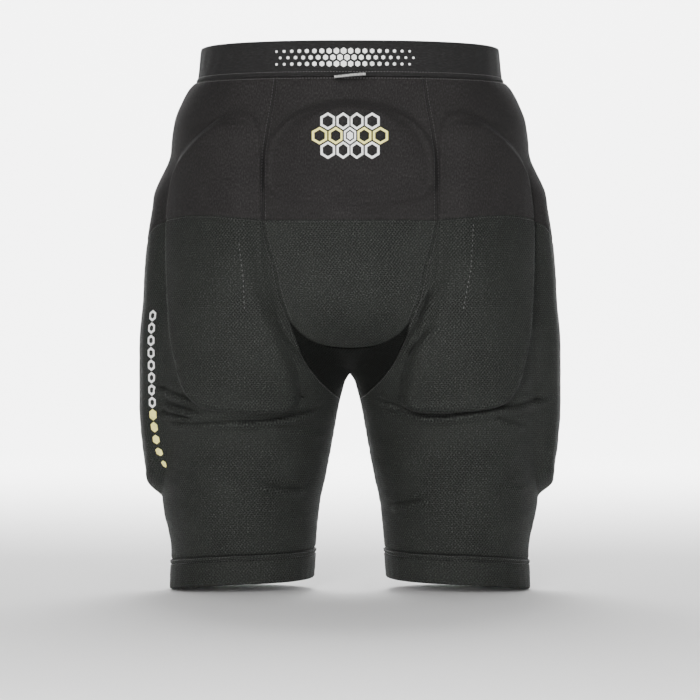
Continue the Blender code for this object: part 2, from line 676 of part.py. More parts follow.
def waistband(material):
    """A closed band whose columns meet the yoke's."""
    side_turns = yoke_side_grid()[0][0]
    centre_x = yoke_centre_grid()[0][0]
    drops = np.linspace(0, BAND_HEIGHT, 3)
    right_turn = np.repeat(side_turns[None, 1:], 3, axis=0)
    drop = np.repeat(drops[:, None], right_turn.shape[1], axis=1)
    right = walls(right_turn, drop, CLOTH_EASE, BAND_WALL)
    x = np.repeat(centre_x[None, :], 3, axis=0)
    drop = np.repeat(drops[:, None], x.shape[1], axis=1)
    centre = [mirrored(face, x) for face in walls(back_grid(x, drop), drop, CLOTH_EASE, BAND_WALL)]
    faces = []
    for side_face, centre_face in zip(right, centre):
        front = side_face.copy()
        front[:, -1, 0] = 0
        left = (front * (-1, 1, 1))[:, ::-1]
        faces.append(np.concatenate([centre_face, front[:, :-1], left], axis=1))
    slab("waistband", faces[0], faces[1], material, closed=True)


def hems(material):
    turn = leg_grid()[0][-1][:-1]
    for side, sign in SIDES:
        rows = [hem_drop(turn, HEM_HEIGHT * share) for share in (1.0, 0.5, 0.0)]
        drop = np.array(rows)
        outer, inner = walls(np.repeat(turn[None, :], 3, axis=0), drop, CLOTH_EASE, HEM_WALL)
        slab("hem_" + side, outer * (sign, 1, 1), inner * (sign, 1, 1), material, closed=True)


def pad_grid(outline, count, across):
    """Rows down an outline, each running between the outline's two edges, a little inside."""
    low, high = outline[:, 1].min() + PAD_INSET, outline[:, 1].max() - PAD_INSET
    share = (1 - np.cos(np.linspace(0.06, 0.94, count) * np.pi)) / 2
    drops = low + (high - low) * share
    edges = []
    for drop in drops:
        found = []
        for (ax, ad), (bx, bd) in zip(outline, np.roll(outline, -1, axis=0)):
            if (ad > drop) != (bd > drop):
                found.append(ax + (bx - ax) * (drop - ad) / (bd - ad))
        edges.append((min(found) + PAD_INSET, max(found) - PAD_INSET))
    edges = np.array(edges)
    share = np.linspace(0, 1, across)[None, :]
    return (edges[:, :1] + (edges[:, 1:] - edges[:, :1]) * share,
            np.repeat(drops[:, None], across, axis=1))


def fabric_over_pads():
    """The inner faces of the fabric of one half, as something that rays can hit."""
    x, drop = yoke_centre_grid()
    grids = [mirrored(place(back_grid(x, drop), drop, CLOTH_EASE), x)]
    x, drop = seat_grid()
    grids.append(mirrored(place(back_grid(x, drop), drop, CLOTH_EASE), x))
    grids += [place(*yoke_side_grid(), CLOTH_EASE), place(*leg_grid(), CLOTH_EASE)]
    points, faces = [], []
    for grid in grids:
        rows, across = grid.shape[:2]
        first = len(points)
        points += [Vector(p) for p in grid.reshape(-1, 3)]
        for i in range(rows - 1):
            for j in range(across - 1):
                a = first + i * across + j
                faces += [(a, a + 1, a + across + 1), (a, a + across + 1, a + across)]
    return BVHTree.FromPolygons(points, faces)


def pads(material):
    """Each pad is a closed slab between the body and the fabric over it."""
    fabric = fabric_over_pads()
    x, drop = pad_grid(OUTLINES["tailbone"], 9, 11)
    outer, inner = pad_faces(fabric, "tailbone", back_grid(x, drop), np.abs(x), drop)
    slab("tailbone_pad", mirrored(outer, x), mirrored(inner, x), material)
    for pad, rows, across in (("hip", 15, 9), ("side", 13, 8)):
        arc, drop = pad_grid(OUTLINES[pad], rows, across)
        outer, inner = pad_faces(fabric, pad, arc / ARC, None, drop)
        for side, sign in SIDES:
            slab(f"{pad}_pad_{side}", outer * (sign, 1, 1), inner * (sign, 1, 1), material)


def pad_faces(fabric, name, turn, x, drop):
    """A pad's outer and inner faces, the outer one held clear of the fabric."""
    spot, away = on_body(turn, drop)
    height = pad_height(name, turn, x, drop)
    for at in np.ndindex(height.shape):
        hit = fabric.ray_cast(Vector(spot[at] - away[at] * RAY_START), Vector(away[at]))
        if hit[3] is not None:
            height[at] = min(height[at], hit[3] - RAY_START - PAD_CLEARANCE)
    height = np.maximum(least_near(height), PAD_BASE + LEAST_PAD)
    return place(turn, drop, 0.0, height), place(turn, drop, PAD_BASE, 0.0)


def least_near(height):
    """Each value of a grid lowered to the least of those round it."""
    padded = np.pad(height, 1, mode="edge")
    rows, across = height.shape
    return np.minimum.reduce([padded[i:i + rows, j:j + across] for i in range(3)
                              for j in range(3)])


def label_loop(material):
    """A folded tag that stands out of the band's lower seam at the middle of the back."""
    drop = np.float64(BAND_HEIGHT)
    root = place(turn_at(np.float64(0), drop), drop, CLOTH_EASE + BAND_WALL + TAG_GAP)
    steps = 6
    turns = np.linspace(0, np.pi, steps + 1)
    nose = TAG_LENGTH - TAG_THICK / 2
    profile = [(0.0, TAG_THICK / 2)]
    profile += [(nose + TAG_THICK / 2 * np.sin(a), TAG_THICK / 2 * np.cos(a)) for a in turns]
    profile += [(0.0, -TAG_THICK / 2)]
    tilt = np.radians(TAG_TILT)
    points = []
    for end in (-0.5, 0.5):
        for out, up in profile:
            x = end * TAG_WIDTH
            points.append((x * np.cos(tilt) - up * np.sin(tilt), root[1] - out,
                           root[2] + x * np.sin(tilt) + up * np.cos(tilt)))
    count = len(profile)
    faces = [tuple(range(count)), tuple(range(2 * count - 1, count - 1, -1))]
    faces += [(i, i + count, (i + 1) % count + count, (i + 1) % count) for i in range(count)]
    make("label_loop", np.array(points), faces, material)


def main():
    for thing in list(bpy.data.objects):
        bpy.data.objects.remove(thing, do_unlink=True)
    materials = {name: material_of(name) for name in COLOURS}
    waistband(materials["band"])
    label_loop(materials["tag"])
    fabric_panels(materials["smooth"], materials["mesh"])
    gusset_panel(materials["mesh"])
    hems(materials["mesh"])
    pads(materials["foam"])


main()
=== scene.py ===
"""Looks of the padded shorts: fine cloth over foam pads, with seams, stitches, folds and prints.

Metres, in the frame's axes: +X is the wearer's right, -Y the back, +Z up. The cloth is worn form,
so it is worked out as the body, the pads' relief on it and the folds in the fabric, as a height
along rays from the middle of each leg.
"""

import bpy
import numpy as np
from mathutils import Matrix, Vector
from mathutils.bvhtree import BVHTree


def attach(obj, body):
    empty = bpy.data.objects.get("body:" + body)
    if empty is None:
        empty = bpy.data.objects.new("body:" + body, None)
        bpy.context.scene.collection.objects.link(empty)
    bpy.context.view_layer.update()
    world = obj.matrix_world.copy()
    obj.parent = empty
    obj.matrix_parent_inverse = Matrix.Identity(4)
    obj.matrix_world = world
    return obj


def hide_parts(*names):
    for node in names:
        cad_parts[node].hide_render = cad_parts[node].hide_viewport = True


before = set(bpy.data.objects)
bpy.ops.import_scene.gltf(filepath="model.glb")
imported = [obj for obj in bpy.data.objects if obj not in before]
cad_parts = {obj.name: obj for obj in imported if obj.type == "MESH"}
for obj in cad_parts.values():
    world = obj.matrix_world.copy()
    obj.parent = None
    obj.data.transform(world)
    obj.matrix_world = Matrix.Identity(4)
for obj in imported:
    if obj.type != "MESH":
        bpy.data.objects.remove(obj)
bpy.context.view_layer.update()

# Driving dimensions, the same as the CAD's
LENGTH = 0.495
HIP_HALF = 0.178
BACK_DEPTH = 0.128
FRONT_DEPTH = 0.103
CROTCH_DROP = 0.292
SEAT_DROP = 0.195
BLEND = 0.014
LEG_BLEND = 0.005
BAND_HEIGHT = 0.032
BAND_WALL = 0.0028
CLOTH_WALL = 0.0015
HEM_HEIGHT = 0.027
HEM_WALL = 0.0024
CLOTH_EASE = 0.0004
TAILBONE_THICK = 0.009
HIP_PAD_THICK = 0.010
SIDE_PAD_THICK = 0.0135
RIM_SHARE = 0.24
ARC = 0.105              # length that one radian round a leg stands for
LEG_MIDDLE = 0.085       # from the middle line to about a leg's own middle
MIDDLE_REACH = 0.060     # from the middle line to where the fabric is lifted straight along a ray
MIDDLE_DROP = 0.262      # down to here it is lifted straight back at the middle line
MIDDLE_FADE = 0.03
TAG_WIDTH = 0.028
TAG_LENGTH = 0.0075
TAG_THICK = 0.0022
TAG_TILT = 4.0           # degrees
TAG_ROOT = 0.0005        # how far it starts inside the band
TAG_SAG = 0.00035        # and how uneven its fold is
TAPE_WALL = 0.00055

FULL_TURN = 2 * np.pi
LEAST = 1e-12            # these keep a division from zero
LEAST_SPAN = 1e-6
HALVINGS = 26            # halvings that find the body's surface

# Finish of the cloth
SEAM_DIP = 0.0011        # how far the fabric's face sinks at a seam
SEAM_REACH = 0.0016      # from the seam to where the face is level again
PUCKER = 0.00022         # waves that the stitching pulls into the fabric beside a seam
PUCKER_WAVE = 0.0085
PUCKER_REACH = 0.006
PUCKER_RISE = 0.0015     # from the seam to where the waves start
PUCKER_DRIFT = 1.3       # how unevenly they are spaced, and over what length
DRIFT_WAVE = 0.031
STITCH_PITCH = 0.0027
STITCH_LENGTH = 0.0020
STITCH_RADIUS = 0.00022
PRINT_THICK = 0.00016
FOLD_EASE = 0.0003       # folds never sink deeper than this below the body's own level
FOLD_FADE = 0.28         # share of a fold over which it fades at each end
FOLD_END = 0.004         # and how far it reaches past its end
# The ridges beside a fold: where and how wide, in the fold's widths, and how high
FOLD_BANKS = ((2.1, 1.5, 1.0), (-2.4, 1.7, 0.45))
WAVE_COUNT = 14          # faint tension waves on each side
WAVE_SEEDS = {"left": 11, "right": 23}
WAVE_LENGTHS = (0.010, 0.028)
WAVE_SLOPE = 0.35
WAVE_HEIGHT = 0.00007
WAVES_FULL = 0.335       # drop from which they have their full height
WAVES_FADE = 0.03
WAVES_ABOVE = 0.35       # share of it that they have above

# The trunk's sections: drop as a share of LENGTH, width of HIP_HALF, back and front of their depths
TRUNK = (
    ("drop", "width", "back", "front"),
    (0.000, 0.752, 0.790, 0.890),
    (0.055, 0.768, 0.800, 0.900),
    (0.078, 0.823, 0.812, 0.915),
    (0.107, 0.866, 0.835, 0.935),
    (0.137, 0.896, 0.865, 0.955),
    (0.182, 0.912, 0.905, 0.985),
    (0.286, 0.922, 0.965, 1.000),
    (0.345, 0.942, 0.990, 1.000),
    (0.394, 0.950, 1.000, 1.000),
    (1.000, 0.950, 1.000, 1.000),
)
TRUNK_ROUND = 2.35
SEAT_ROUND = 2.5

# The leg sections: outer and inner edges as shares of HIP_HALF, measured from the middle
LEGS = (
    ("drop", "outer", "inner", "back", "front"),
    (0.000, 0.600, 0.060, 0.560, 0.640),
    (0.200, 0.830, 0.045, 0.770, 0.820),
    (0.300, 0.905, 0.022, 0.860, 0.890),
    (0.400, 0.955, 0.010, 0.950, 0.950),
    (0.480, 0.985, 0.006, 0.980, 0.965),
    (0.545, 1.000, 0.006, 0.965, 0.965),
    (0.597, 1.001, 0.020, 0.915, 0.955),
    (0.620, 1.001, 0.040, 0.885, 0.945),
    (0.660, 1.001, 0.068, 0.830, 0.925),
    (0.720, 0.990, 0.098, 0.770, 0.900),
    (0.790, 0.966, 0.135, 0.710, 0.860),
    (0.840, 0.957, 0.165, 0.670, 0.820),
    (0.930, 0.912, 0.190, 0.600, 0.760),
    (1.000, 0.915, 0.205, 0.575, 0.735),
)
LEG_ROUND = 2.1

# Seam lines on the back: x as a share of HIP_HALF, drop as a share of LENGTH
YOKE_SIDE_SEAM = (("x", "drop"), (0.363, 0.000), (0.372, 0.065), (0.390, 0.117), (0.413, 0.165),
                  (0.428, 0.210), (0.433, 0.325))
SEAT_SIDE_SEAM = (("x", "drop"), (0.433, 0.325), (0.410, 0.370), (0.378, 0.409), (0.346, 0.464),
                  (0.300, 0.509))
SEAT_FOOT_SEAM = (("x", "drop"), (0.300, 0.509), (0.250, 0.528), (0.195, 0.541), (0.128, 0.549),
                  (0.062, 0.552), (0.000, 0.553))
GUSSET_BACK_SEAM = (("turned", "drop"), (0.000, 0.509), (0.045, 0.540), (0.110, 0.570),
                    (0.210, 0.597), (0.370, 0.620), (0.640, 0.639), (1.000, 0.648))
YOKE_FOOT_SEAM = (("angle", "drop"), (-180.0, 0.362), (-20.0, 0.362), (6.0, 0.358), (19.0, 0.340),
                  (30.0, 0.321), (42.0, 0.314), (62.0, 0.308), (90.0, 0.312), (128.0, 0.316))
FRONT_TIP_DROP = 0.520
INSEAM_DROP = 0.648
HEM_SLOPE = (("angle", "lift"), (-180.0, 0.022), (-90.0, 0.010), (0.0, 0.000), (90.0, 0.016),
             (180.0, 0.022))

# Pad outlines: x as a share of HIP_HALF, drop as a share of LENGTH
TAILBONE_RIM = (("x", "drop"), (0.000, 0.112), (0.115, 0.115), (0.225, 0.126), (0.315, 0.143),
                (0.385, 0.172), (0.420, 0.205), (0.425, 0.290), (0.000, 0.298))
TAILBONE_CROWN = (("x", "drop"), (0.000, 0.124), (0.115, 0.127), (0.200, 0.140), (0.252, 0.164),
                  (0.272, 0.200), (0.278, 0.250), (0.245, 0.270), (0.000, 0.271))
HIP_RIM = (("x", "drop"), (0.440, 0.185), (0.460, 0.142), (0.530, 0.128), (0.630, 0.136),
           (0.715, 0.158), (0.800, 0.185), (0.862, 0.216), (0.890, 0.262), (0.895, 0.470),
           (0.872, 0.560), (0.838, 0.622), (0.765, 0.656), (0.680, 0.667), (0.350, 0.671),
           (0.262, 0.655), (0.270, 0.610), (0.340, 0.540), (0.400, 0.460), (0.440, 0.380))
HIP_CROWN = (("x", "drop"), (0.572, 0.190), (0.585, 0.163), (0.640, 0.156), (0.715, 0.173),
             (0.790, 0.203), (0.848, 0.236), (0.872, 0.280), (0.874, 0.470), (0.852, 0.556),
             (0.820, 0.616), (0.752, 0.650), (0.677, 0.662), (0.360, 0.667), (0.300, 0.652),
             (0.335, 0.600), (0.430, 0.510), (0.530, 0.420), (0.572, 0.330))
SIDE_RIM = (("angle", "drop"), (-46.0, 0.300), (-34.0, 0.252), (-12.0, 0.230), (14.0, 0.234),
            (28.0, 0.262), (34.0, 0.320), (34.0, 0.700), (27.0, 0.782), (8.0, 0.817),
            (-22.0, 0.812), (-42.0, 0.780), (-50.0, 0.700))
CREASE = {"tailbone": 0.005, "hip": 0.006, "side": 0.008}
FOOT_DROP = 0.640        # share of LENGTH below which the hip pad has its foot
FOOT_CREASE = 0.003      # the hip pad's foot, where the fabric tucks in
FOOT_FADE = 0.012
SIDE_FADE = 0.03
SIDE_SLOPE = 0.022       # how gently the side pad rises, except along its foot
SIDE_SLOPE_FOOT = 0.735
TAILBONE_FROM = np.pi / 2 - 0.2    # the tailbone pad lies at larger angles than this
BRIDGE = 1.6             # how far the fabric spans the valley between two pads: 1 fills it
BEAD = {"tailbone": 0.0019, "hip": 0.0015, "side": 0.0}    # raised edge just inside a pad's rim
BEAD_WIDTH = 0.0017
BEAD_FADE = 0.003
CHANNEL = 0.45           # share of the bead that the fabric sinks just inside it
CHANNEL_AT = 4.2 * BEAD_WIDTH
CHANNEL_WIDTH = 1.6 * BEAD_WIDTH

# Folds on the back of each leg: x and drop in shares, then depth, width and the ridge beside it
FOLDS = {
    "left": (
        (((0.722, 0.679), (0.572, 0.683), (0.437, 0.682), (0.297, 0.674), (0.137, 0.658)),
         0.0046, 0.0021, 0.85),
        (((0.917, 0.685), (0.797, 0.689), (0.712, 0.687), (0.557, 0.685)), 0.0028, 0.0020, 0.8),
        (((0.932, 0.649), (0.822, 0.662), (0.712, 0.676)), 0.0030, 0.0020, 0.9),
        (((0.967, 0.622), (0.897, 0.630), (0.827, 0.640), (0.767, 0.655)), 0.0024, 0.0020, 0.9),
        (((0.957, 0.667), (0.847, 0.676), (0.722, 0.683)), 0.0026, 0.0018, 0.8),
        (((0.487, 0.692), (0.372, 0.694), (0.247, 0.698), (0.122, 0.706)), 0.0016, 0.0024, 0.9),
        (((0.827, 0.755), (0.747, 0.754), (0.657, 0.757)), 0.0009, 0.0022, 0.8),
        (((0.507, 0.793), (0.387, 0.803), (0.307, 0.807), (0.222, 0.808)), 0.0024, 0.0020, 1.2),
        (((0.387, 0.498), (0.317, 0.536), (0.247, 0.567)), 0.0022, 0.0022, 0.9),
        (((0.332, 0.522), (0.267, 0.561), (0.187, 0.597)), 0.0013, 0.0022, 0.8),
        (((0.867, 0.836), (0.747, 0.833), (0.617, 0.840)), 0.0006, 0.0024, 0.8),
    ),
    "right": (
        (((0.243, 0.660), (0.353, 0.672), (0.453, 0.674), (0.569, 0.669), (0.733, 0.660),
          (0.853, 0.647)), 0.0046, 0.0021, 0.85),
        (((0.143, 0.646), (0.218, 0.653), (0.293, 0.664), (0.353, 0.671)), 0.0028, 0.0018, 0.8),
        (((0.163, 0.662), (0.243, 0.669), (0.323, 0.678)), 0.0014, 0.0020, 0.8),
        (((0.733, 0.664), (0.814, 0.658), (0.908, 0.649), (0.968, 0.644)), 0.0028, 0.0020, 0.9),
        (((0.694, 0.673), (0.783, 0.682), (0.888, 0.694)), 0.0024, 0.0020, 0.9),
        (((0.713, 0.736), (0.778, 0.739), (0.853, 0.745)), 0.0009, 0.0022, 0.8),
        (((0.723, 0.793), (0.803, 0.799), (0.898, 0.804)), 0.0012, 0.0022, 0.9),
        (((0.188, 0.762), (0.253, 0.759), (0.323, 0.754)), 0.0009, 0.0020, 0.8),
        (((0.208, 0.840), (0.303, 0.833), (0.433, 0.822)), 0.0026, 0.0020, 1.2),
        (((0.248, 0.561), (0.323, 0.513), (0.403, 0.461)), 0.0030, 0.0022, 0.9),
        (((0.278, 0.585), (0.353, 0.540), (0.453, 0.500)), 0.0022, 0.0022, 0.9),
        (((0.333, 0.500), (0.383, 0.468), (0.433, 0.439)), 0.0020, 0.0020, 0.9),
    ),
}


# Tables and smooth curves

def columns(table):
    """The table's columns by name."""
    rows = np.array(table[1:], float)
    return {name: rows[:, i] for i, name in enumerate(table[0])}


def smooth_curve(knots, values, at):
    """A monotone cubic through the knots, which doesn't overshoot them."""
    steps = np.diff(knots)
    slopes = np.diff(values) / steps
    both = slopes[1:] + slopes[:-1]
    inner = np.where(slopes[1:] * slopes[:-1] > 0,
                     2 * slopes[1:] * slopes[:-1] / np.where(both == 0, 1, both), 0.0)
    tangents = np.concatenate([slopes[:1], inner, slopes[-1:]])
    at = np.clip(at, knots[0], knots[-1])
    k = np.clip(np.searchsorted(knots, at, side="right") - 1, 0, len(steps) - 1)
    h = steps[k]
    t = (at - knots[k]) / h
    return (values[k] * (1 + 2 * t) * (1 - t) ** 2 + values[k + 1] * t * t * (3 - 2 * t)
            + h * tangents[k] * t * (1 - t) ** 2 + h * tangents[k + 1] * t * t * (t - 1))


def read(table, name, against, at):
    """One column of a table, read smoothly against another."""
    found = columns(table)
    return smooth_curve(found[against], found[name], at)


def walked_line(points):
    """How far along a line each of its points is."""
    return np.concatenate([[0], np.cumsum(np.linalg.norm(np.diff(points, axis=0), axis=1))])


def respaced(points, count):
    """Points spaced evenly along a smooth line through these."""
    walked = walked_line(points)
    at = np.linspace(0, walked[-1], count)
    return np.stack([smooth_curve(walked, points[:, i], at) for i in (0, 1)], axis=1)


def along(line, count):
    """Points spaced evenly along a seam line given in shares, as metres (x, drop)."""
    found = columns(line)
    return respaced(np.stack([found["x"] * HIP_HALF, found["drop"] * LENGTH], axis=1), count)


def eased(share):
    """From 0 to 1, level at both ends."""
    return share * share * (3 - 2 * share)


def swell(depth, width):
    """0 outside an edge, 1 inside it, and smooth across its width."""
    return eased(np.clip(depth / width * 0.5 + 0.5, 0, 1))


def unit(vectors):
    """The same directions at length 1."""
    return vectors / np.maximum(np.linalg.norm(vectors, axis=-1, keepdims=True), LEAST)


# The body that the shorts are worn on

class Sections:
    """The trunk's and the leg's sections at these drops, read once for many tests."""

    def __init__(self, drop):
        share = drop / LENGTH
        outer = read(LEGS, "outer", "drop", share) * HIP_HALF
        inner = read(LEGS, "inner", "drop", share) * HIP_HALF
        self.centre, self.wide = (outer + inner) / 2, (outer - inner) / 2
        self.back = read(LEGS, "back", "drop", share) * BACK_DEPTH
        self.front = read(LEGS, "front", "drop", share) * FRONT_DEPTH
        share = np.minimum(drop, SEAT_DROP) / LENGTH
        self.trunk_wide = read(TRUNK, "width", "drop", share) * HIP_HALF
        self.trunk_back = read(TRUNK, "back", "drop", share) * BACK_DEPTH
        self.trunk_front = read(TRUNK, "front", "drop", share) * FRONT_DEPTH
        self.under = np.maximum(drop - SEAT_DROP, 0)

    def outside(self, x, y):
        """How far a point of one half stands outside the body: the trunk and a leg, blended."""
        deep = np.where(y < 0, self.back, self.front)
        leg = reach(x - self.centre, y, self.wide, deep, LEG_ROUND)
        other = reach(-x - self.centre, y, self.wide, deep, LEG_ROUND)
        trunk = reach(x, y, self.trunk_wide, np.where(y < 0, self.trunk_back, self.trunk_front),
                      TRUNK_ROUND, self.under, CROTCH_DROP - SEAT_DROP)
        return rounded_union(rounded_union(leg, trunk, BLEND), other, LEG_BLEND)


def reach(dx, dy, wide, deep, power, dz=0.0, tall=1.0):
    """Distance outside a rounded section, measured along the ray from its centre."""
    share = (np.abs(dx / wide) ** power + np.abs(dy / deep) ** power
             + np.abs(dz / tall) ** SEAT_ROUND) ** (1 / power)
    length = np.sqrt(dx * dx + dy * dy + np.square(dz))
    return length * (1 - 1 / np.maximum(share, LEAST_SPAN))


def rounded_union(a, b, radius):
    h = np.clip(0.5 + 0.5 * (b - a) / radius, 0, 1)
    return b * (1 - h) + a * h - radius * h * (1 - h)


def halved(shape, low, high, inside):
    """The length at which each point leaves the body, by halving."""
    low, high = np.full(shape, low), np.full(shape, high)
    for _ in range(HALVINGS):
        middle = (low + high) / 2
        within = inside(middle)
        low, high = np.where(within, middle, low), np.where(within, high, middle)
    return (low + high) / 2


SHORT_RAY = 0.02         # the surface is between these lengths from where a ray starts
LONG_RAY = 0.26
PAST_MIDDLE = 0.002      # how far a half's rays reach over the middle line
DEEPEST = 0.2            # more than the surface is from the side line, front or back


def body_radius(turn, sections):
    """From the leg's centre to its half's surface, on the ray at this angle (radians)."""
    def inside(length):
        x = sections.centre + length * np.cos(turn)
        return (sections.outside(x, -length * np.sin(turn)) < 0) & (x > -PAST_MIDDLE)

    return halved(turn.shape, SHORT_RAY, LONG_RAY, inside)


def turn_at(x, drop, back=True):
    """The ray's angle that meets the body at this x, on the back or the front."""
    x, drop = np.broadcast_arrays(np.asarray(x, float), np.asarray(drop, float))
    sections = Sections(drop)
    side = -1.0 if back else 1.0
    deep = halved(x.shape, 0.0, DEEPEST, lambda length: sections.outside(x, side * length) < 0)
    return np.arctan2(-side * deep, x - sections.centre)


# The relief of the pads under the fabric

def outline_of(rim):
    """A pad's outline as (length across, drop) points, rounded at its corners."""
    found = columns(rim)
    drops = found["drop"] * LENGTH
    if "angle" in found:
        line = np.stack([np.radians(found["angle"]) * ARC, drops], axis=1)
    elif rim in (TAILBONE_RIM, TAILBONE_CROWN):
        half = np.stack([found["x"] * HIP_HALF, drops], axis=1)
        line = np.concatenate([half, half[::-1] * (-1, 1)])
    else:
        line = np.stack([turn_at(found["x"] * HIP_HALF, drops) * ARC, drops], axis=1)
    return cut_corners(cut_corners(line))


def cut_corners(line):
    """Chaikin's rounding of a closed outline."""
    following = np.roll(line, -1, axis=0)
    both = np.stack([line * 0.75 + following * 0.25, line * 0.25 + following * 0.75], axis=1)
    return both.reshape(-1, 2)


def depth_inside(across, drop, outline):
    """Distance inside a closed outline, negative outside."""
    ends = np.roll(outline, -1, axis=0)
    nearest = np.full(np.shape(across), 1.0)
    inside = np.zeros(np.shape(across), bool)
    for (ax, ad), (bx, bd) in zip(outline, ends):
        ex, ed = bx - ax, bd - ad
        square = ex * ex + ed * ed
        if square < 1e-12:
            continue
        t = np.clip(((across - ax) * ex + (drop - ad) * ed) / square, 0, 1)
        nearest = np.minimum(nearest, np.hypot(across - ax - t * ex, drop - ad - t * ed))
        if ed != 0:
            crosses = (ad > drop) != (bd > drop)
            inside ^= crosses & (across < ax + ex * (drop - ad) / ed)
    return np.where(inside, nearest, -nearest)


OUTLINES = {name: outline_of(rim) for name, rim in (
    ("tailbone", TAILBONE_RIM), ("tailbone_crown", TAILBONE_CROWN),
    ("hip", HIP_RIM), ("hip_crown", HIP_CROWN), ("side", SIDE_RIM))}


def crease_width(name, drop):
    """How wide a pad's edge is at this drop: narrow along the hip pad's foot."""
    foot = swell(drop - FOOT_DROP * LENGTH, FOOT_FADE) if name == "hip" else 0.0
    return CREASE[name] + (FOOT_CREASE - CREASE[name]) * foot


def pad_height(name, turn, x, drop):
    """How far a pad lifts the fabric, with the raised edge just inside its rim."""
    across = x if name == "tailbone" else turn * ARC
    inside = depth_inside(across, drop, OUTLINES[name])
    if name == "side":
        gentle = swell(SIDE_SLOPE_FOOT * LENGTH - drop, SIDE_FADE)
        return SIDE_PAD_THICK * swell(inside, CREASE[name] + (SIDE_SLOPE - CREASE[name]) * gentle)
    rim = swell(inside, crease_width(name, drop))
    bead = np.exp(-np.square((inside - BEAD_WIDTH) / BEAD_WIDTH))
    bead -= CHANNEL * np.exp(-np.square((inside - CHANNEL_AT) / CHANNEL_WIDTH))
    bead *= BEAD[name] * swell(inside, BEAD_FADE)
    thick = TAILBONE_THICK if name == "tailbone" else HIP_PAD_THICK
    outside = np.maximum(-depth_inside(across, drop, OUTLINES[name + "_crown"]), 0)
    crown = np.clip(inside / np.maximum(inside + outside, LEAST_SPAN), 0, 1)
    crown = (crown + eased(crown)) / 2
    return thick * (RIM_SHARE * rim + (1 - RIM_SHARE) * crown) + bead * (1 - crown)


def relief(turn, x, drop):
    """The height of whatever lies between the body and the fabric."""
    tailbone = np.where(turn > TAILBONE_FROM, pad_height("tailbone", turn, x, drop), 0)
    hip, side = (np.maximum(pad_height(name, turn, x, drop), 0) for name in ("hip", "side"))
    return np.maximum(tailbone, (hip ** BRIDGE + side ** BRIDGE) ** (1 / BRIDGE))


# Folds and small waves of the fabric

def fold_lines(side):
    """A side's folds as (arc, drop) lines with their depth, width and ridge."""
    lines = []
    for line, depth, width, ridge in FOLDS[side]:
        x, drop = np.array(line).T * [[HIP_HALF], [LENGTH]]
        turn = turn_at(np.minimum(x, Sections(drop).centre + Sections(drop).wide * 0.985), drop)
        points = respaced(np.stack([turn * ARC, drop], axis=1), 14)
        lines.append((points, depth, width, ridge))
    return lines


def fold_height(side, turn, drop):
    """Creases with a soft ridge beneath them, fading out towards both ends."""
    across, total = turn * ARC, np.zeros(np.shape(turn))
    for points, depth, width, ridge in FOLD_LINES[side]:
        near, signed, share = nearest_on(across, drop, points)
        fade = eased(np.clip(np.minimum(share, 1 - share) / FOLD_FADE, 0, 1))
        fade = fade * np.exp(-np.square((near - np.abs(signed)) / FOLD_END))
        valley = np.exp(-np.square(signed / width))
        banks = sum(tall * np.exp(-np.square((signed / width - at) / wide))
                    for at, wide, tall in FOLD_BANKS)
        total += depth * fade * (ridge * banks - valley)
    return total


def nearest_on(across, drop, points):
    """Distance to a line, the distance with its side (below is positive), and the share along."""
    near = np.full(np.shape(across), 1.0)
    signed = np.full(np.shape(across), 1.0)
    share = np.zeros(np.shape(across))
    count = len(points) - 1
    for i, ((ax, ad), (bx, bd)) in enumerate(zip(points[:-1], points[1:])):
        ex, ed = bx - ax, bd - ad
        length = np.hypot(ex, ed)
        t = ((across - ax) * ex + (drop - ad) * ed) / length ** 2
        held = np.clip(t, 0, 1)
        distance = np.hypot(across - ax - held * ex, drop - ad - held * ed)
        beside = ((drop - ad) * ex - (across - ax) * ed) / length
        beside = beside if ex > 0 else -beside
        closer = distance < near
        near = np.where(closer, distance, near)
        signed = np.where(closer, beside, signed)
        share = np.where(closer, (i + held) / count, share)
    return near, signed, share


def waves(side, turn, drop):
    """Faint tension waves across the lower leg and the fabric below the yoke."""
    rng = np.random.default_rng(WAVE_SEEDS[side])
    total = np.zeros(np.shape(turn))
    for _ in range(WAVE_COUNT):
        wave = rng.uniform(*WAVE_LENGTHS)
        slope = rng.uniform(-WAVE_SLOPE, WAVE_SLOPE)
        phase, drift = rng.uniform(0, FULL_TURN, 2)
        patch = 0.5 + 0.5 * np.sin(turn * rng.uniform(1.5, 4.0) + drop / 0.05 + drift)
        total += patch * np.sin((drop + slope * turn * ARC) / wave * FULL_TURN + phase)
    low = np.clip((drop - WAVES_FULL) / WAVES_FADE, 0, 1)
    return total * WAVE_HEIGHT * (WAVES_ABOVE + (1 - WAVES_ABOVE) * low)


FOLD_LINES = {side: fold_lines(side) for side in FOLDS}


# Points on the garment, on the half with x > 0

FLIP = {"left": (-1, 1, 1), "right": (1, 1, 1)}    # from that half to each side


def place(turn, drop, lift, side=None, height=None):
    """The point at this angle and drop, lifted from the body by pads, folds and more."""
    turn, drop = np.broadcast_arrays(turn, drop)
    sections = Sections(drop)
    radius = body_radius(turn, sections)
    x = sections.centre + radius * np.cos(turn)
    if height is None:
        height = relief(turn, x, drop)
        if side is not None:
            folded = height + fold_height(side, turn, drop) + waves(side, turn, drop)
            height = np.maximum(folded, np.minimum(height, 0.0) - FOLD_EASE)
    near_middle = np.square(1 - np.clip(x / MIDDLE_REACH, 0, 1))
    sideways = np.cos(turn) * (1 - near_middle * swell(MIDDLE_DROP - drop, MIDDLE_FADE))
    length = np.hypot(sideways, np.sin(turn))
    lifted = (height + lift) / length
    return np.stack([x + sideways * lifted, -np.sin(turn) * (radius + lifted), -drop], axis=-1)


def mirrored(points, x):
    return np.where((x < 0)[..., None], points * (-1, 1, 1), points)


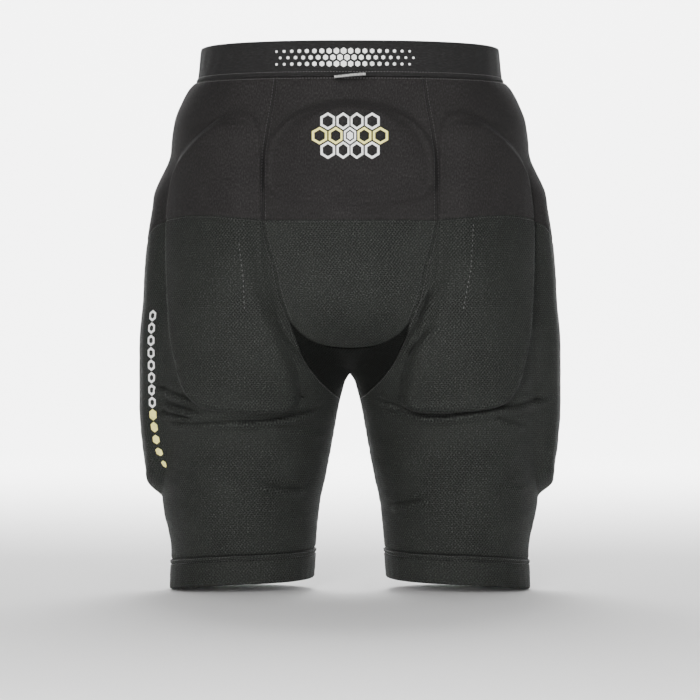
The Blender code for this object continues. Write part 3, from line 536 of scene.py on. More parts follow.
def grid_normals(points, closed=False):
    """Outward normals of a grid of points, from its own differences."""
    if closed:
        wide = np.concatenate([points[:, -1:], points, points[:, :1]], axis=1)
        across = wide[:, 2:] - wide[:, :-2]
    else:
        across = np.gradient(points, axis=1)
    down = np.gradient(points, axis=0)
    normal = unit(np.cross(across, down))
    away = points * (1, 1, 0)
    away[..., 0] -= np.clip(points[..., 0], -LEG_MIDDLE, LEG_MIDDLE)
    middle = (normal * away).sum(axis=-1)
    return normal if np.median(middle) > 0 else -normal


# Seams in angle and drop

def yoke_foot(turn):
    return read(YOKE_FOOT_SEAM, "drop", "angle", np.degrees(turn)) * LENGTH


def hem_drop(turn, above):
    """Drops at this height above the hem's foot, which rises towards the front."""
    lift = read(HEM_SLOPE, "lift", "angle", np.degrees(turn)) * LENGTH
    return LENGTH - lift - above


def inseam_drops(rows):
    """Rows down the inseam, closest together just below the gusset."""
    top, foot = INSEAM_DROP * LENGTH, hem_drop(np.pi, HEM_HEIGHT)
    return top + (foot - top) * np.linspace(0, 1, rows + 1) ** 1.15


def leg_back_edge(rows):
    """The leg panel's back edge: the seat seam, the gusset seam, then the inseam."""
    seat, gusset, inseam = rows
    side = along(SEAT_SIDE_SEAM, seat + 1)
    turns = turn_at(side[:, 0], side[:, 1])
    seam = columns(GUSSET_BACK_SEAM)
    knots = np.arange(len(seam["drop"]))
    at = np.linspace(0, knots[-1], gusset + 1)[1:-1]
    crotch_turns = turns[-1] + (np.pi - turns[-1]) * smooth_curve(knots, seam["turned"], at)
    crotch_drops = smooth_curve(knots, seam["drop"] * LENGTH, at)
    low = inseam_drops(inseam)
    return (np.concatenate([turns, crotch_turns, np.full(inseam + 1, np.pi)]),
            np.concatenate([side[:, 1], crotch_drops, low]))


def front_middle_turn(drop):
    """The angle of the ray that meets the centre front."""
    return turn_at(np.zeros(np.shape(drop)), drop, back=False)


def leg_front_edge(rows):
    """The leg panel's front edge: the centre front, the gusset seam, then the inseam."""
    seat, gusset, inseam = rows
    top, tip = yoke_foot(np.float64(-np.pi)), FRONT_TIP_DROP * LENGTH
    middle = np.linspace(top, tip, seat + 1)
    middle_turns = front_middle_turn(middle)
    share = np.linspace(0, 1, gusset + 1)[1:-1]
    crotch_turns = middle_turns[-1] + (-np.pi - middle_turns[-1]) * share ** 1.5
    crotch_drops = tip + (INSEAM_DROP * LENGTH - tip) * share ** 0.8
    low = inseam_drops(inseam)
    return (np.concatenate([middle_turns, crotch_turns, np.full(inseam + 1, -np.pi)]),
            np.concatenate([middle, crotch_drops, low]))


# Fine grids of angle and drop for the panels

def close_to_ends(count, ends, power=1.0):
    """Shares from 0 to 1 with extra lines just inside both ends, closer together near 0."""
    even = np.linspace(0, 1, count) ** power
    near = np.array(ends)
    even = even[(even == 0) | (even == 1) | ((even > near[-1] * 1.5) & (even < 1 - near[-1] * 1.5))]
    return np.unique(np.concatenate([even, near, 1 - near]))


LEG_ROWS = (52, 40, 104)
SIDE_COLUMNS = close_to_ends(190, (0.0010, 0.0020, 0.0032), 1.18)
CENTRE_COLUMNS = 2 * close_to_ends(100, (0.003, 0.006, 0.010)) - 1
YOKE_ROWS = close_to_ends(78, (0.003, 0.006, 0.011))


def seam_drops(turn, corner):
    """The yoke's lower seam at these angles, meeting the corner's drop at its first end."""
    found = yoke_foot(turn)
    return found + (corner - found[0]) * np.linspace(1, 0, len(turn)) ** 3


YOKE_CORNER = YOKE_SIDE_SEAM[-1][1] * LENGTH


def yoke_side_seam():
    """x and drop down the seam between the middle yoke and a side yoke."""
    seam = columns(YOKE_SIDE_SEAM)
    drops = BAND_HEIGHT + (YOKE_CORNER - BAND_HEIGHT) * YOKE_ROWS
    return smooth_curve(seam["drop"] * LENGTH, seam["x"] * HIP_HALF, drops), drops


def yoke_side_grid():
    """Angles and drops of a side yoke, from its back seam round to the centre front."""
    first = turn_at(*yoke_side_seam())
    last_drops = BAND_HEIGHT + (yoke_foot(np.float64(-np.pi)) - BAND_HEIGHT) * YOKE_ROWS
    last = front_middle_turn(last_drops)
    turn = first[:, None] + (last - first)[:, None] * SIDE_COLUMNS[None, :]
    lowest = seam_drops(turn[-1], YOKE_CORNER)
    return turn, BAND_HEIGHT + (lowest[None, :] - BAND_HEIGHT) * YOKE_ROWS[:, None]


def yoke_centre_grid():
    half, drops = yoke_side_seam()
    return half[:, None] * CENTRE_COLUMNS, np.repeat(drops[:, None], len(CENTRE_COLUMNS), axis=1)


def seat_grid():
    """x and drop from the yoke's seam down to the seat's foot seam."""
    side = along(SEAT_SIDE_SEAM, LEG_ROWS[0] + 1)
    line = columns(SEAT_FOOT_SEAM)
    order = np.argsort(line["x"])
    foot = smooth_curve(line["x"][order] * HIP_HALF, line["drop"][order] * LENGTH,
                        np.abs(CENTRE_COLUMNS) * side[-1, 0])
    share = np.linspace(0, 1, LEG_ROWS[0] + 1)
    straight = np.repeat(side[:, 1:], len(CENTRE_COLUMNS), axis=1)
    return (side[:, :1] * CENTRE_COLUMNS,
            straight + (foot - side[-1, 1])[None, :] * share[:, None] ** 1.5)


def leg_grid():
    """Angles and drops of a leg panel, from its back edge round to its front edge."""
    back_turns, back_drops = leg_back_edge(LEG_ROWS)
    front_turns, front_drops = leg_front_edge(LEG_ROWS)
    t = SIDE_COLUMNS[None, :]
    turn = back_turns[0] + (front_turns[0] - back_turns[0]) * t
    turn = turn + (back_turns - back_turns[0])[:, None] * (1 - t) ** 4
    turn = turn + (front_turns - front_turns[0])[:, None] * t ** 4
    share = (back_drops - back_drops[0]) / (back_drops[-1] - back_drops[0])
    top = seam_drops(yoke_side_grid()[0][-1], back_drops[0])
    bottom = hem_drop(turn[-1], HEM_HEIGHT)
    drop = top[None, :] + (bottom - top)[None, :] * share[:, None]
    drop = drop + (back_drops - drop[:, 0])[:, None] * (1 - t) ** 4
    return turn, drop + (front_drops - drop[:, -1])[:, None] * t ** 4


# Meshes from grids

SMOOTH_ANGLE = 50        # in degrees: faces that meet at less are shaded smooth


def walked_along(points, axis):
    """Arc lengths along one axis of a grid, from its first line."""
    steps = np.linalg.norm(np.diff(points, axis=axis), axis=-1)
    pad = [(0, 0), (0, 0)]
    pad[axis] = (1, 0)
    return np.pad(np.cumsum(steps, axis=axis), pad)


def seam_finish(points):
    """The pucker beside the seams and the dip of the face at them, as heights on the grid."""
    across, down = walked_along(points, 1), walked_along(points, 0)
    edges = ((across, down), (across[:, -1:] - across, down), (down, across),
             (down[-1:] - down, across))
    dip, pucker = np.zeros(across.shape), np.zeros(across.shape)
    for away, ahead in edges:
        dip = np.maximum(dip, np.exp(-np.square(away / SEAM_REACH)))
        wave = np.sin(ahead / PUCKER_WAVE * FULL_TURN + PUCKER_DRIFT * np.sin(ahead / DRIFT_WAVE))
        pucker += wave * np.exp(-away / PUCKER_REACH) * (1 - np.exp(-away / PUCKER_RISE))
    return pucker * PUCKER, dip * SEAM_DIP


def level_uv(inner, turn):
    """UVs in metres: down the drop, and across from straight behind the leg's middle."""
    across = walked_along(inner, 1)
    uv = np.empty(inner.shape[:2] + (2,))
    for row, turns in enumerate(turn):
        behind = np.interp(np.pi / 2, turns[::-1], across[row, ::-1])
        start = np.interp(np.pi / 2, turns[::-1], np.abs(inner[row, ::-1, 0]))
        uv[row, :, 0] = across[row] - behind + start
    uv[..., 1] = inner[..., 2]
    return uv


def quads(grid):
    """The four corners of each cell of a grid of numbers or UVs, one cell to a row."""
    corners = (grid[:-1, :-1], grid[:-1, 1:], grid[1:, 1:], grid[1:, :-1])
    return np.stack(corners, axis=2).reshape(-1, 4, *grid.shape[2:])


def skin(name, inner, outer, closed=False, sewn_from=None, uv=None):
    """One closed wall between two grids, with UVs in metres along the knit."""
    rows, across = inner.shape[:2]
    index = np.arange(rows * across).reshape(rows, across)
    if uv is None:
        u = walked_along(inner, 1)
        uv = np.stack([u - u[:, across // 3:across // 3 + 1], -walked_along(inner, 0)], axis=-1)
    outer, inner = outer.copy(), inner.copy()
    if sewn_from is not None:
        index[sewn_from:, -1] = index[sewn_from:, 0]
        for face in (outer, inner):
            face[sewn_from:, 0] = (face[sewn_from:, 0] + face[sewn_from:, -1]) / 2
    if closed:
        index = np.concatenate([index, index[:, :1]], axis=1)
        last = uv[:, -1:] * 2 - uv[:, -2:-1]
        uv = np.concatenate([uv, last], axis=1)
    size = rows * across
    front, front_uv = quads(index), quads(uv)
    faces = [front, front[:, ::-1] + size]
    uvs = [front_uv, front_uv[:, ::-1]]
    lines = [(index[0], uv[0]), (index[-1][::-1], uv[-1][::-1])]
    if not closed:
        stop = rows if sewn_from is None else sewn_from + 1
        lines += [(index[:stop, 0][::-1], uv[:stop, 0][::-1]), (index[:stop, -1], uv[:stop, -1])]
    for line, line_uv in lines:
        a, b = line[:-1], line[1:]
        faces.append(np.stack([b, a, a + size, b + size], axis=-1))
        uvs.append(np.stack([line_uv[1:], line_uv[:-1], line_uv[:-1], line_uv[1:]], axis=1))
    points = np.concatenate([outer.reshape(-1, 3), inner.reshape(-1, 3)])
    return mesh_piece(name, points, np.concatenate(faces), np.concatenate(uvs))


def mesh_piece(name, points, faces, uvs=None):
    """A mesh object from arrays, with unused points dropped and its faces turned outwards."""
    used, renumbered = np.unique(faces, return_inverse=True)
    points, faces = points[used], renumbered.reshape(faces.shape)
    corners = points[faces]
    volume = 0.0
    for i in range(1, faces.shape[1] - 1):
        volume += (corners[:, 0] * np.cross(corners[:, i], corners[:, i + 1])).sum()
    if volume < 0:
        faces = faces[:, ::-1]
        uvs = None if uvs is None else uvs[:, ::-1]
    mesh = bpy.data.meshes.new(name)
    mesh.from_pydata(points.tolist(), [], faces.tolist())
    if uvs is not None:
        layer = mesh.uv_layers.new(name="UVMap")
        layer.uv.foreach_set("vector", np.ascontiguousarray(uvs, dtype=np.float32).ravel())
    mesh.shade_smooth()
    mesh.set_sharp_from_angle(angle=np.radians(SMOOTH_ANGLE))
    piece = bpy.data.objects.new(name, mesh)
    bpy.context.scene.collection.objects.link(piece)
    return piece


# Materials

SHADER = "Principled BSDF"


def graph(name, colour, roughness, sheen=0.0, sheen_roughness=0.4, sheen_tint=(1.0, 1.0, 1.0),
          specular=0.35):
    """A new material with its shader's plain settings, and its node tree."""
    made = bpy.data.materials.new(name)
    made.use_nodes = True
    tree = made.node_tree
    for key, value in (("Base Color", (*colour, 1.0)), ("Roughness", roughness),
                       ("Specular IOR Level", specular), ("Sheen Weight", sheen),
                       ("Sheen Roughness", sheen_roughness), ("Sheen Tint", (*sheen_tint, 1.0))):
        tree.nodes[SHADER].inputs[key].default_value = value
    return made, tree


def node(tree, kind, inputs=None, **settings):
    """A new node with its settings, and its inputs linked or set."""
    made = tree.nodes.new(kind)
    for name, value in settings.items():
        setattr(made, name, value)
    for key, value in (inputs or {}).items():
        if isinstance(value, bpy.types.NodeSocket):
            tree.links.new(value, made.inputs[key])
        else:
            made.inputs[key].default_value = value
    return made


def maths(tree, operation, a, b=0.0, c=0.0):
    return node(tree, "ShaderNodeMath", {0: a, 1: b, 2: c}, operation=operation).outputs[0]


def knit_place(tree):
    """The knit's own coordinates in metres: UV, as separate lengths across and down."""
    uv = node(tree, "ShaderNodeTexCoord").outputs["UV"]
    parts = node(tree, "ShaderNodeSeparateXYZ", {0: uv})
    return uv, parts.outputs[0], parts.outputs[1]


def noise(tree, place, scale, detail=2.0, roughness=0.55, stretch=None):
    if stretch is not None:
        place = node(tree, "ShaderNodeMapping", {"Vector": place, "Scale": stretch}).outputs[0]
    made = node(tree, "ShaderNodeTexNoise", {"Vector": place, "Scale": scale, "Detail": detail,
                                             "Roughness": roughness})
    return made.outputs["Fac"]


def ramp(tree, value, stops):
    """A colour ramp through (place, colour) stops."""
    made = node(tree, "ShaderNodeValToRGB", {"Fac": value})
    band = made.color_ramp
    while len(band.elements) < len(stops):
        band.elements.new(0.5)
    for element, (at, colour) in zip(band.elements, stops):
        element.position = at
        element.color = (*colour, 1.0)
    return made.outputs["Color"]


def mixed(tree, share, a, b, blend="MIX"):
    made = node(tree, "ShaderNodeMix", data_type="RGBA", blend_type=blend)
    for key, value in ((0, share), (6, a), (7, b)):
        if isinstance(value, bpy.types.NodeSocket):
            tree.links.new(value, made.inputs[key])
        elif isinstance(value, tuple):
            made.inputs[key].default_value = (*value, 1.0)
        else:
            made.inputs[key].default_value = value
    return made.outputs[2]


def surfaced(made, colour, *layers):
    """The material with its colour, and bump from heights with their distances in metres."""
    tree, normal = made.node_tree, None
    for height, distance in layers:
        inputs = {"Height": height, "Distance": distance, "Strength": 1.0}
        if normal is not None:
            inputs["Normal"] = normal
        normal = node(tree, "ShaderNodeBump", inputs).outputs["Normal"]
    tree.links.new(colour, tree.nodes[SHADER].inputs["Base Color"])
    tree.links.new(normal, tree.nodes[SHADER].inputs["Normal"])
    return made


def shade(colour, by):
    return tuple(channel * by for channel in colour)


def grey(tone):
    return (tone, tone, tone)


def lattice(tree, u, v, across, down):
    """Staggered spots: 1 at the middle of each, and below 0 between them."""
    waves_across = maths(tree, "COSINE", maths(tree, "MULTIPLY", u, FULL_TURN / across))
    waves_down = maths(tree, "COSINE", maths(tree, "MULTIPLY", v, FULL_TURN / down))
    return maths(tree, "MULTIPLY", waves_across, waves_down)


def ribs(tree, length, pitch):
    """A wave along a length, one to each pitch."""
    return maths(tree, "SINE", maths(tree, "MULTIPLY", length, FULL_TURN / pitch))


def remapped(tree, value, low, high, to_low=0.0, to_high=1.0, how="LINEAR"):
    """A value's range spread over another, and held at its ends."""
    inputs = {"Value": value, "From Min": low, "From Max": high, "To Min": to_low,
              "To Max": to_high}
    return node(tree, "ShaderNodeMapRange", inputs, interpolation_type=how).outputs[0]


CREASE_SHADE = 0.009     # how near another face must be for the painted crease shade to darken the fabric
JERSEY_ACROSS = 0.00075  # one loop of the jersey
JERSEY_DOWN = 0.0006
MESH_ACROSS = 0.0029     # between the holes of the mesh knit in one row
MESH_DOWN = 0.0036       # between every second row of holes
MESH_WANDER = 0.0007     # how far the rows stray
RIB_PITCH = 0.0011       # the waistband's ribs, and the weft that crosses them
WEFT_PITCH = 0.0008
TAPE_PITCH = 0.0007      # the tag's weave
VENT_PITCH = 0.009       # between the foam's vents in one row


def painted_crease_shade(tree, colour):
    """The colour with painted shade: darker down in the creases and along the seams, from ambient
    occlusion.
    """
    open_sky = node(tree, "ShaderNodeAmbientOcclusion", {"Distance": CREASE_SHADE}, samples=8)
    tone = ramp(tree, open_sky.outputs["AO"], ((0.30, grey(0.06)), (0.62, grey(0.55)),
                                               (0.88, grey(1.0))))
    return mixed(tree, 1.0, colour, tone, "MULTIPLY")


def smooth_stretch():
    """The upper fabric: fine smooth jersey, slightly warm black, with a heathered yarn."""
    colour = (0.0146, 0.0138, 0.0137)
    made, tree = graph("smooth_stretch", colour, 0.82, 0.02, 0.5, (0.95, 0.93, 0.93), 0.08)
    uv, u, v = knit_place(tree)
    heather = noise(tree, uv, 900.0, 3.0, 0.7, (1.0, 0.45, 1.0))
    broad = noise(tree, uv, 14.0, 3.0)
    yarn = ramp(tree, heather, ((0.30, shade(colour, 0.55)), (0.52, colour),
                                (0.72, shade(colour, 1.9))))
    tone = ramp(tree, broad, ((0.3, grey(0.86)), (0.7, grey(1.12))))
    toned = painted_crease_shade(tree, mixed(tree, 1.0, yarn, tone, "MULTIPLY"))
    loops = maths(tree, "MULTIPLY", ribs(tree, u, JERSEY_ACROSS), ribs(tree, v, JERSEY_DOWN))
    tree.links.new(maths(tree, "MULTIPLY_ADD", heather, 0.12, 0.70),
                   tree.nodes[SHADER].inputs["Roughness"])
    return surfaced(made, toned, (heather, 0.00010), (loops, 0.00006), (broad, 0.0006))


def mesh_knit(name="mesh_knit", tone=1.0):
    """The lower fabric: a diamond mesh of small dimples, slightly green black, with painted shade in
    the dimples and painted glints on the yarn.
    """
    # a tone below 1 gives a darker copy of the knit: painted shade for a piece that lies in shadow
    colour = (0.0132 * tone, 0.0144 * tone, 0.0130 * tone)
    made, tree = graph(name, colour, 0.74, 0.02, 0.5, (0.92, 0.96, 0.92), 0.12 * tone)
    uv, u, v = knit_place(tree)
    wander = noise(tree, uv, 260.0, 2.0)
    shift = maths(tree, "MULTIPLY_ADD", wander, MESH_WANDER, -MESH_WANDER / 2)
    dots = lattice(tree, maths(tree, "ADD", u, shift), maths(tree, "ADD", v, shift),
                   MESH_ACROSS, MESH_DOWN)
    hole = remapped(tree, dots, 0.05, 0.60, how="SMOOTHSTEP")
    # the dimples, with their painted shade, show more strongly in random patches
    worn = remapped(tree, noise(tree, uv, 22.0, 3.0, 0.6), 0.36, 0.62, 0.55)
    dimple = maths(tree, "MULTIPLY", hole, worn)
    yarn = noise(tree, uv, 1100.0, 2.0, 0.7, (0.6, 1.0, 1.0))
    # the yarn's tone varies at random; its brightest flecks are painted glints
    yarn_and_glints = ramp(tree, yarn, ((0.30, shade(colour, 0.62)), (0.52, colour), (0.74, shade(colour, 4.2))))
    # the dimples are painted down to a tenth of the colour, as shade
    toned = painted_crease_shade(tree, mixed(tree, dimple, yarn_and_glints, shade(colour, 0.10)))
    depth = maths(tree, "MULTIPLY", dimple, -1.0)
    broad = noise(tree, uv, 30.0, 3.0)
    return surfaced(made, toned, (depth, 0.00062), (yarn, 0.00012), (broad, 0.0009))


def waistband_elastic():
    """Woven elastic: fine ribs along the band, with painted glints on the yarn."""
    colour = (0.0140, 0.0138, 0.0138)
    made, tree = graph("waistband_elastic", colour, 0.70, 0.02, 0.5, specular=0.10)
    uv, u, v = knit_place(tree)
    rib, weft = ribs(tree, v, RIB_PITCH), ribs(tree, u, WEFT_PITCH)
    yarn = noise(tree, uv, 800.0, 3.0, 0.7, (0.3, 1.0, 1.0))
    # the yarn's tone varies at random; its brightest flecks are painted glints
    yarn_and_glints = ramp(tree, yarn, ((0.30, shade(colour, 0.65)), (0.55, colour), (0.75, shade(colour, 1.7))))
    return surfaced(made, yarn_and_glints, (rib, 0.00012), (maths(tree, "MULTIPLY", rib, weft), 0.00007),
                    (noise(tree, uv, 40.0), 0.0004))


def tag_tape():
    """Woven label tape, worn paler along its fold."""
    made, tree = graph("tag_tape", grey(0.05), 0.70, 0.2)
    uv, u, v = knit_place(tree)
    weave = maths(tree, "MULTIPLY", ribs(tree, u, TAPE_PITCH), ribs(tree, v, TAPE_PITCH))
    worn = remapped(tree, maths(tree, "ABSOLUTE", v), 0.0045, 0.0012)
    ragged = maths(tree, "MULTIPLY", worn, noise(tree, uv, 700.0, 3.0))
    paint = ramp(tree, ragged, ((0.0, grey(0.020)), (0.30, grey(0.10)), (0.62, (0.42, 0.42, 0.41))))
    return surfaced(made, paint, (weave, 0.00010))


def foam():
    """Dense grey foam with small vent dimples, painted darker inside as shade."""
    colour = (0.055, 0.056, 0.060)
    made, tree = graph("foam", colour, 0.92)
    uv, u, v = knit_place(tree)
    cells = node(tree, "ShaderNodeTexVoronoi", {"Vector": uv, "Scale": 900.0}).outputs["Distance"]
    hole = remapped(tree, lattice(tree, u, v, VENT_PITCH, VENT_PITCH), 0.62, 0.82)
    return surfaced(made, mixed(tree, hole, colour, shade(colour, 0.25)), (cells, 0.0002),
                    (maths(tree, "MULTIPLY", hole, -1.0), 0.0012))


def thread(name, colour):
    """Sewing thread with a fine light and dark grain."""
    made, tree = graph(name, colour, 0.60, 0.25)
    spot = node(tree, "ShaderNodeTexCoord").outputs["Object"]
    twist = noise(tree, spot, 2600.0, 2.0)
    tone = ramp(tree, twist, ((0.3, shade(colour, 0.6)), (0.7, shade(colour, 1.4))))
    return surfaced(made, tone, (twist, 0.0001))


def print_ink(name, colour):
    """Rubbery print: fine grain, slightly broken where the cloth stretches."""
    made, tree = graph(name, colour, 0.45, specular=0.45)
    spot = node(tree, "ShaderNodeTexCoord").outputs["Object"]
    wear = noise(tree, spot, 260.0, 4.0, 0.6)
    tone = ramp(tree, wear, ((0.30, shade(colour, 0.72)), (0.50, colour), (0.8, colour)))
    return surfaced(made, tone, (noise(tree, spot, 1500.0, 3.0), 0.00008))


# The pieces

OUTER_FACES = []         # the fabric's outer grids, which stitches and prints are laid on


def finished(piece, slot, material, *nodes):
    """Gives a piece its material and body, and hides the CAD nodes it stands for. The slot is not used.
    """
    piece.data.materials.append(material)
    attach(piece, "root")
    if nodes:
        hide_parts(*nodes)
    return piece


def cloth(part, slot, material, inner, outer, closed=False, **wall):
    """A fabric piece between its two faces. Its outer face takes stitches and prints."""
    OUTER_FACES.append(np.concatenate([outer, outer[:, :1]], axis=1) if closed else outer)
    finished(skin(part + "_cloth", inner, outer, closed, **wall), slot, material, part)


def both_faces(inner):
    """The outer and inner faces of a fabric panel, with its seams' dips and puckers."""
    normal = grid_normals(inner)
    pucker, dip = seam_finish(inner)
    inner = inner + normal * np.maximum(pucker, -CLOTH_EASE / 2)[..., None]
    return inner + normal * (CLOTH_WALL - dip)[..., None], inner


def centre_panel(x, drop):
    """A panel across the middle of the back, folded and waved as its side is."""
    turn = turn_at(np.abs(x), drop)
    halves = [mirrored(place(turn, drop, CLOTH_EASE, side), x) for side in ("left", "right")]
    return np.where((x < 0)[..., None], halves[0], halves[1])


def side_panel(part, slot, material, grid, side, middle_rows, sewn_from=None):
    """One side's panel. The last column of its first rows lies on the centre front."""
    turn, drop = grid
    outer, inner = both_faces(place(turn, drop, CLOTH_EASE, side))
    outer[:middle_rows, -1, 0] = inner[:middle_rows, -1, 0] = 0
    cloth(f"{part}_{side}", slot, material, inner * FLIP[side], outer * FLIP[side],
          sewn_from=sewn_from, uv=level_uv(inner, turn))


def fabric_panels(smooth, mesh):
    """The yokes and the legs: smooth fabric above, mesh knit below."""
    for part, slot, material, grid in (("yoke_centre", "smooth_stretch", smooth, yoke_centre_grid()),
                                       ("seat_panel", "mesh_knit", mesh, seat_grid())):
        outer, inner = both_faces(centre_panel(*grid))
        cloth(part, slot, material, inner, outer)
    seat, gusset, _ = LEG_ROWS
    for side in FLIP:
        side_panel("yoke", "smooth_stretch", smooth, yoke_side_grid(), side, len(YOKE_ROWS))
        side_panel("leg", "mesh_knit", mesh, leg_grid(), side, seat + 1, seat + gusset)


def gusset_panel(material):
    """The crotch piece, from the seat's foot seam under to its front point."""
    seat, gusset, _ = LEG_ROWS
    turn, drop = leg_grid()
    rows = slice(seat, seat + gusset + 1)
    back = place(turn[rows, 0], drop[rows, 0], CLOTH_EASE)
    front = place(turn[rows, -1], drop[rows, -1], CLOTH_EASE)
    edge = np.concatenate([back, front[-2::-1]])
    x, foot = seat_grid()
    top = mirrored(place(turn_at(np.abs(x[-1]), foot[-1]), foot[-1], CLOTH_EASE), x[-1])
    share = (CENTRE_COLUMNS[:, None] + 1) / 2
    left, right = edge[:, None] * (-1, 1, 1), edge[:, None]
    inner = left + (right - left) * share[None]
    bow = top - inner[0]
    inner = inner + bow[None] * np.square(1 - np.linspace(0, 1, len(edge)))[:, None, None]
    inner[1:-1, 1:-1] = cast_onto_body(inner[1:-1, 1:-1])
    inner[-1] = edge[-1]
    normal = outward(inner)
    normal[-1] = normal[-1, normal.shape[1] // 2]
    outer = inner + normal * CLOTH_WALL
    finished(skin("gusset_cloth", inner[:-1], outer[:-1]), "mesh_knit", material, "gusset")


def cast_onto_body(points):
    """Points moved onto the fabric's inner level, on rays from the middle of the seat."""
    core = np.array([0.0, 0.0, -SEAT_DROP])
    ways = unit(points - core)
    length = halved(points.shape[:-1], SHORT_RAY, LONG_RAY,
                    lambda length: half_level(core + ways * length[..., None]) < 0)
    found = core + ways * length[..., None]
    return found + outward(found) * CLOTH_EASE


def half_level(points):
    """How far points of either half stand outside the body."""
    return Sections(-points[..., 2]).outside(np.abs(points[..., 0]), points[..., 1])


SLOPE_STEP = 0.0008      # half the length over which the body's slope is read


def outward(points):
    """The body's outward directions at these points."""
    slopes = [half_level(points + way) - half_level(points - way) for way in np.eye(3) * SLOPE_STEP]
    return unit(np.stack(slopes, axis=-1))


BAND_ROWS = np.array([0, 0.02, 0.05, 0.09, 0.14, 0.22, 0.31, 0.40, 0.50, 0.60, 0.69, 0.78, 0.84,
                      0.88, 0.91, 0.94, 0.97, 1.0])
BAND_COLUMNS = 190


HEM_ROWS = np.array([0, 0.03, 0.07, 0.11, 0.145, 0.165, 0.185, 0.21, 0.26, 0.34, 0.44, 0.54, 0.64,
                     0.74, 0.83, 0.90, 0.95, 0.98, 1.0])
EDGE_ROUND = 0.05        # share of a band's height that is rounded at each edge


def band_profile(y, least, press, depth, width):
    """A band's thickness down its height: thin at both edges, with one pressed line."""
    ends = np.clip(np.minimum(y, 1 - y) / EDGE_ROUND, 0, 1)
    ends = least + (1 - least) * np.sqrt(1 - np.square(1 - ends))
    return ends * (1 - depth * np.exp(-np.square((y - press) / width)))


def flutter(inner, height, wave, wander):
    """Small uneven waves along a band."""
    ahead = walked_along(inner, 1)
    return height * np.sin(ahead / wave * FULL_TURN + 2 * np.sin(ahead / wander))


def waistband(material):
    """A closed elastic band: rounded top edge, faintly crowned face, pressed line at the seam."""
    drop = BAND_HEIGHT * BAND_ROWS
    first, last = turn_at(np.zeros(len(drop)), drop), front_middle_turn(drop)
    share = np.linspace(0, 1, BAND_COLUMNS)
    turn = first[:, None] + (last - first)[:, None] * share
    drop = np.repeat(drop[:, None], BAND_COLUMNS, axis=1)
    halves = {side: place(turn, drop, CLOTH_EASE, side) * FLIP[side] for side in FLIP}
    for half in halves.values():
        half[:, 0, 0] = half[:, -1, 0] = 0
    inner = np.concatenate([halves["right"], halves["left"][:, -2:0:-1]], axis=1)
    y = BAND_ROWS[:, None]
    crown = 0.82 + 0.18 * np.sqrt(np.clip(1 - np.square(2 * y - 1), 0, 1))
    thick = BAND_WALL * crown * band_profile(y, least=0.35, press=0.89, depth=0.22, width=0.022)
    thick = thick + flutter(inner, height=0.00012, wave=0.017, wander=0.05) * y * (1 - y) * 4
    outer = inner + grid_normals(inner, closed=True) * thick[..., None]
    cloth("waistband", "waistband_elastic", material, inner, outer, closed=True)


def hems(material):
    """Doubled bands with a pressed line under the seam and a rounded fold at the bottom."""
    turn = leg_grid()[0][-1][:-1]
    y = HEM_ROWS[:, None]
    drop = hem_drop(turn, HEM_HEIGHT * (1 - y))
    for side in FLIP:
        inner = place(turn, drop, CLOTH_EASE, side)
        thick = HEM_WALL * band_profile(y, least=0.30, press=0.165, depth=0.50, width=0.024)
        thick = thick + flutter(inner, height=0.00016, wave=0.012, wander=0.04) * y
        outer = inner + grid_normals(inner, closed=True) * thick[..., None]
        cloth("hem_" + side, "mesh_knit", material, inner * FLIP[side], outer * FLIP[side],
              closed=True)


PAD_INSET = 0.0100       # the foam's edge, inside the rim that shows in the fabric
PAD_BASE = 0.0003        # gap between the body and the foam
PAD_CLEARANCE = 0.0025   # and between the foam and the fabric
LEAST_PAD = 0.0010
PAD_EDGE = 3             # cells across the foam's rounded edge
PAD_EDGE_SHARE = 0.55    # how thick it still is at the very edge


def pad_piece(name, rows, across, material, side=None):
    """A foam pad: flat against the body, crowned under the fabric, with a rounded edge."""
    outline = OUTLINES[name]
    low, high = outline[:, 1].min() + PAD_INSET, outline[:, 1].max() - PAD_INSET
    drops = low + (high - low) * (1 - np.cos(np.linspace(0.05, 0.95, rows) * np.pi)) / 2
    edges = []
    for drop in drops:
        found = [ax + (bx - ax) * (drop - ad) / (bd - ad)
                 for (ax, ad), (bx, bd) in zip(outline, np.roll(outline, -1, axis=0))
                 if (ad > drop) != (bd > drop)]
        edges.append((min(found) + PAD_INSET, max(found) - PAD_INSET))
    edges = np.array(edges)
    share = (1 - np.cos(np.linspace(0, 1, across) * np.pi)) / 2
    arc = edges[:, :1] + (edges[:, 1:] - edges[:, :1]) * share
    drop = np.repeat(drops[:, None], across, axis=1)
    turn = arc / ARC if side else turn_at(np.abs(arc), drop)
    height = pad_height(name, turn, np.abs(arc), drop) - PAD_CLEARANCE
    i = np.minimum(np.arange(rows), np.arange(rows)[::-1])[:, None]
    j = np.minimum(np.arange(across), np.arange(across)[::-1])[None, :]
    edge = np.clip(np.minimum(i, j) / PAD_EDGE, 0, 1)
    rounded = PAD_EDGE_SHARE + (1 - PAD_EDGE_SHARE) * np.sqrt(1 - np.square(1 - edge))
    height = np.maximum(height * rounded, PAD_BASE + LEAST_PAD)
    faces = (place(turn, drop, PAD_BASE, height=0.0), place(turn, drop, 0.0, height=height))
    inner, outer = (face * FLIP[side] if side else mirrored(face, arc) for face in faces)
    ending = "_" + side if side else ""
    piece = finished(skin(f"{name}_foam{ending}", inner, outer), "foam", material,
                     f"{name}_pad{ending}")


def foam_pads(material):
    pad_piece("tailbone", 40, 44, material)
    for side in FLIP:
        pad_piece("hip", 76, 40, material, side)
        pad_piece("side", 80, 36, material, side)


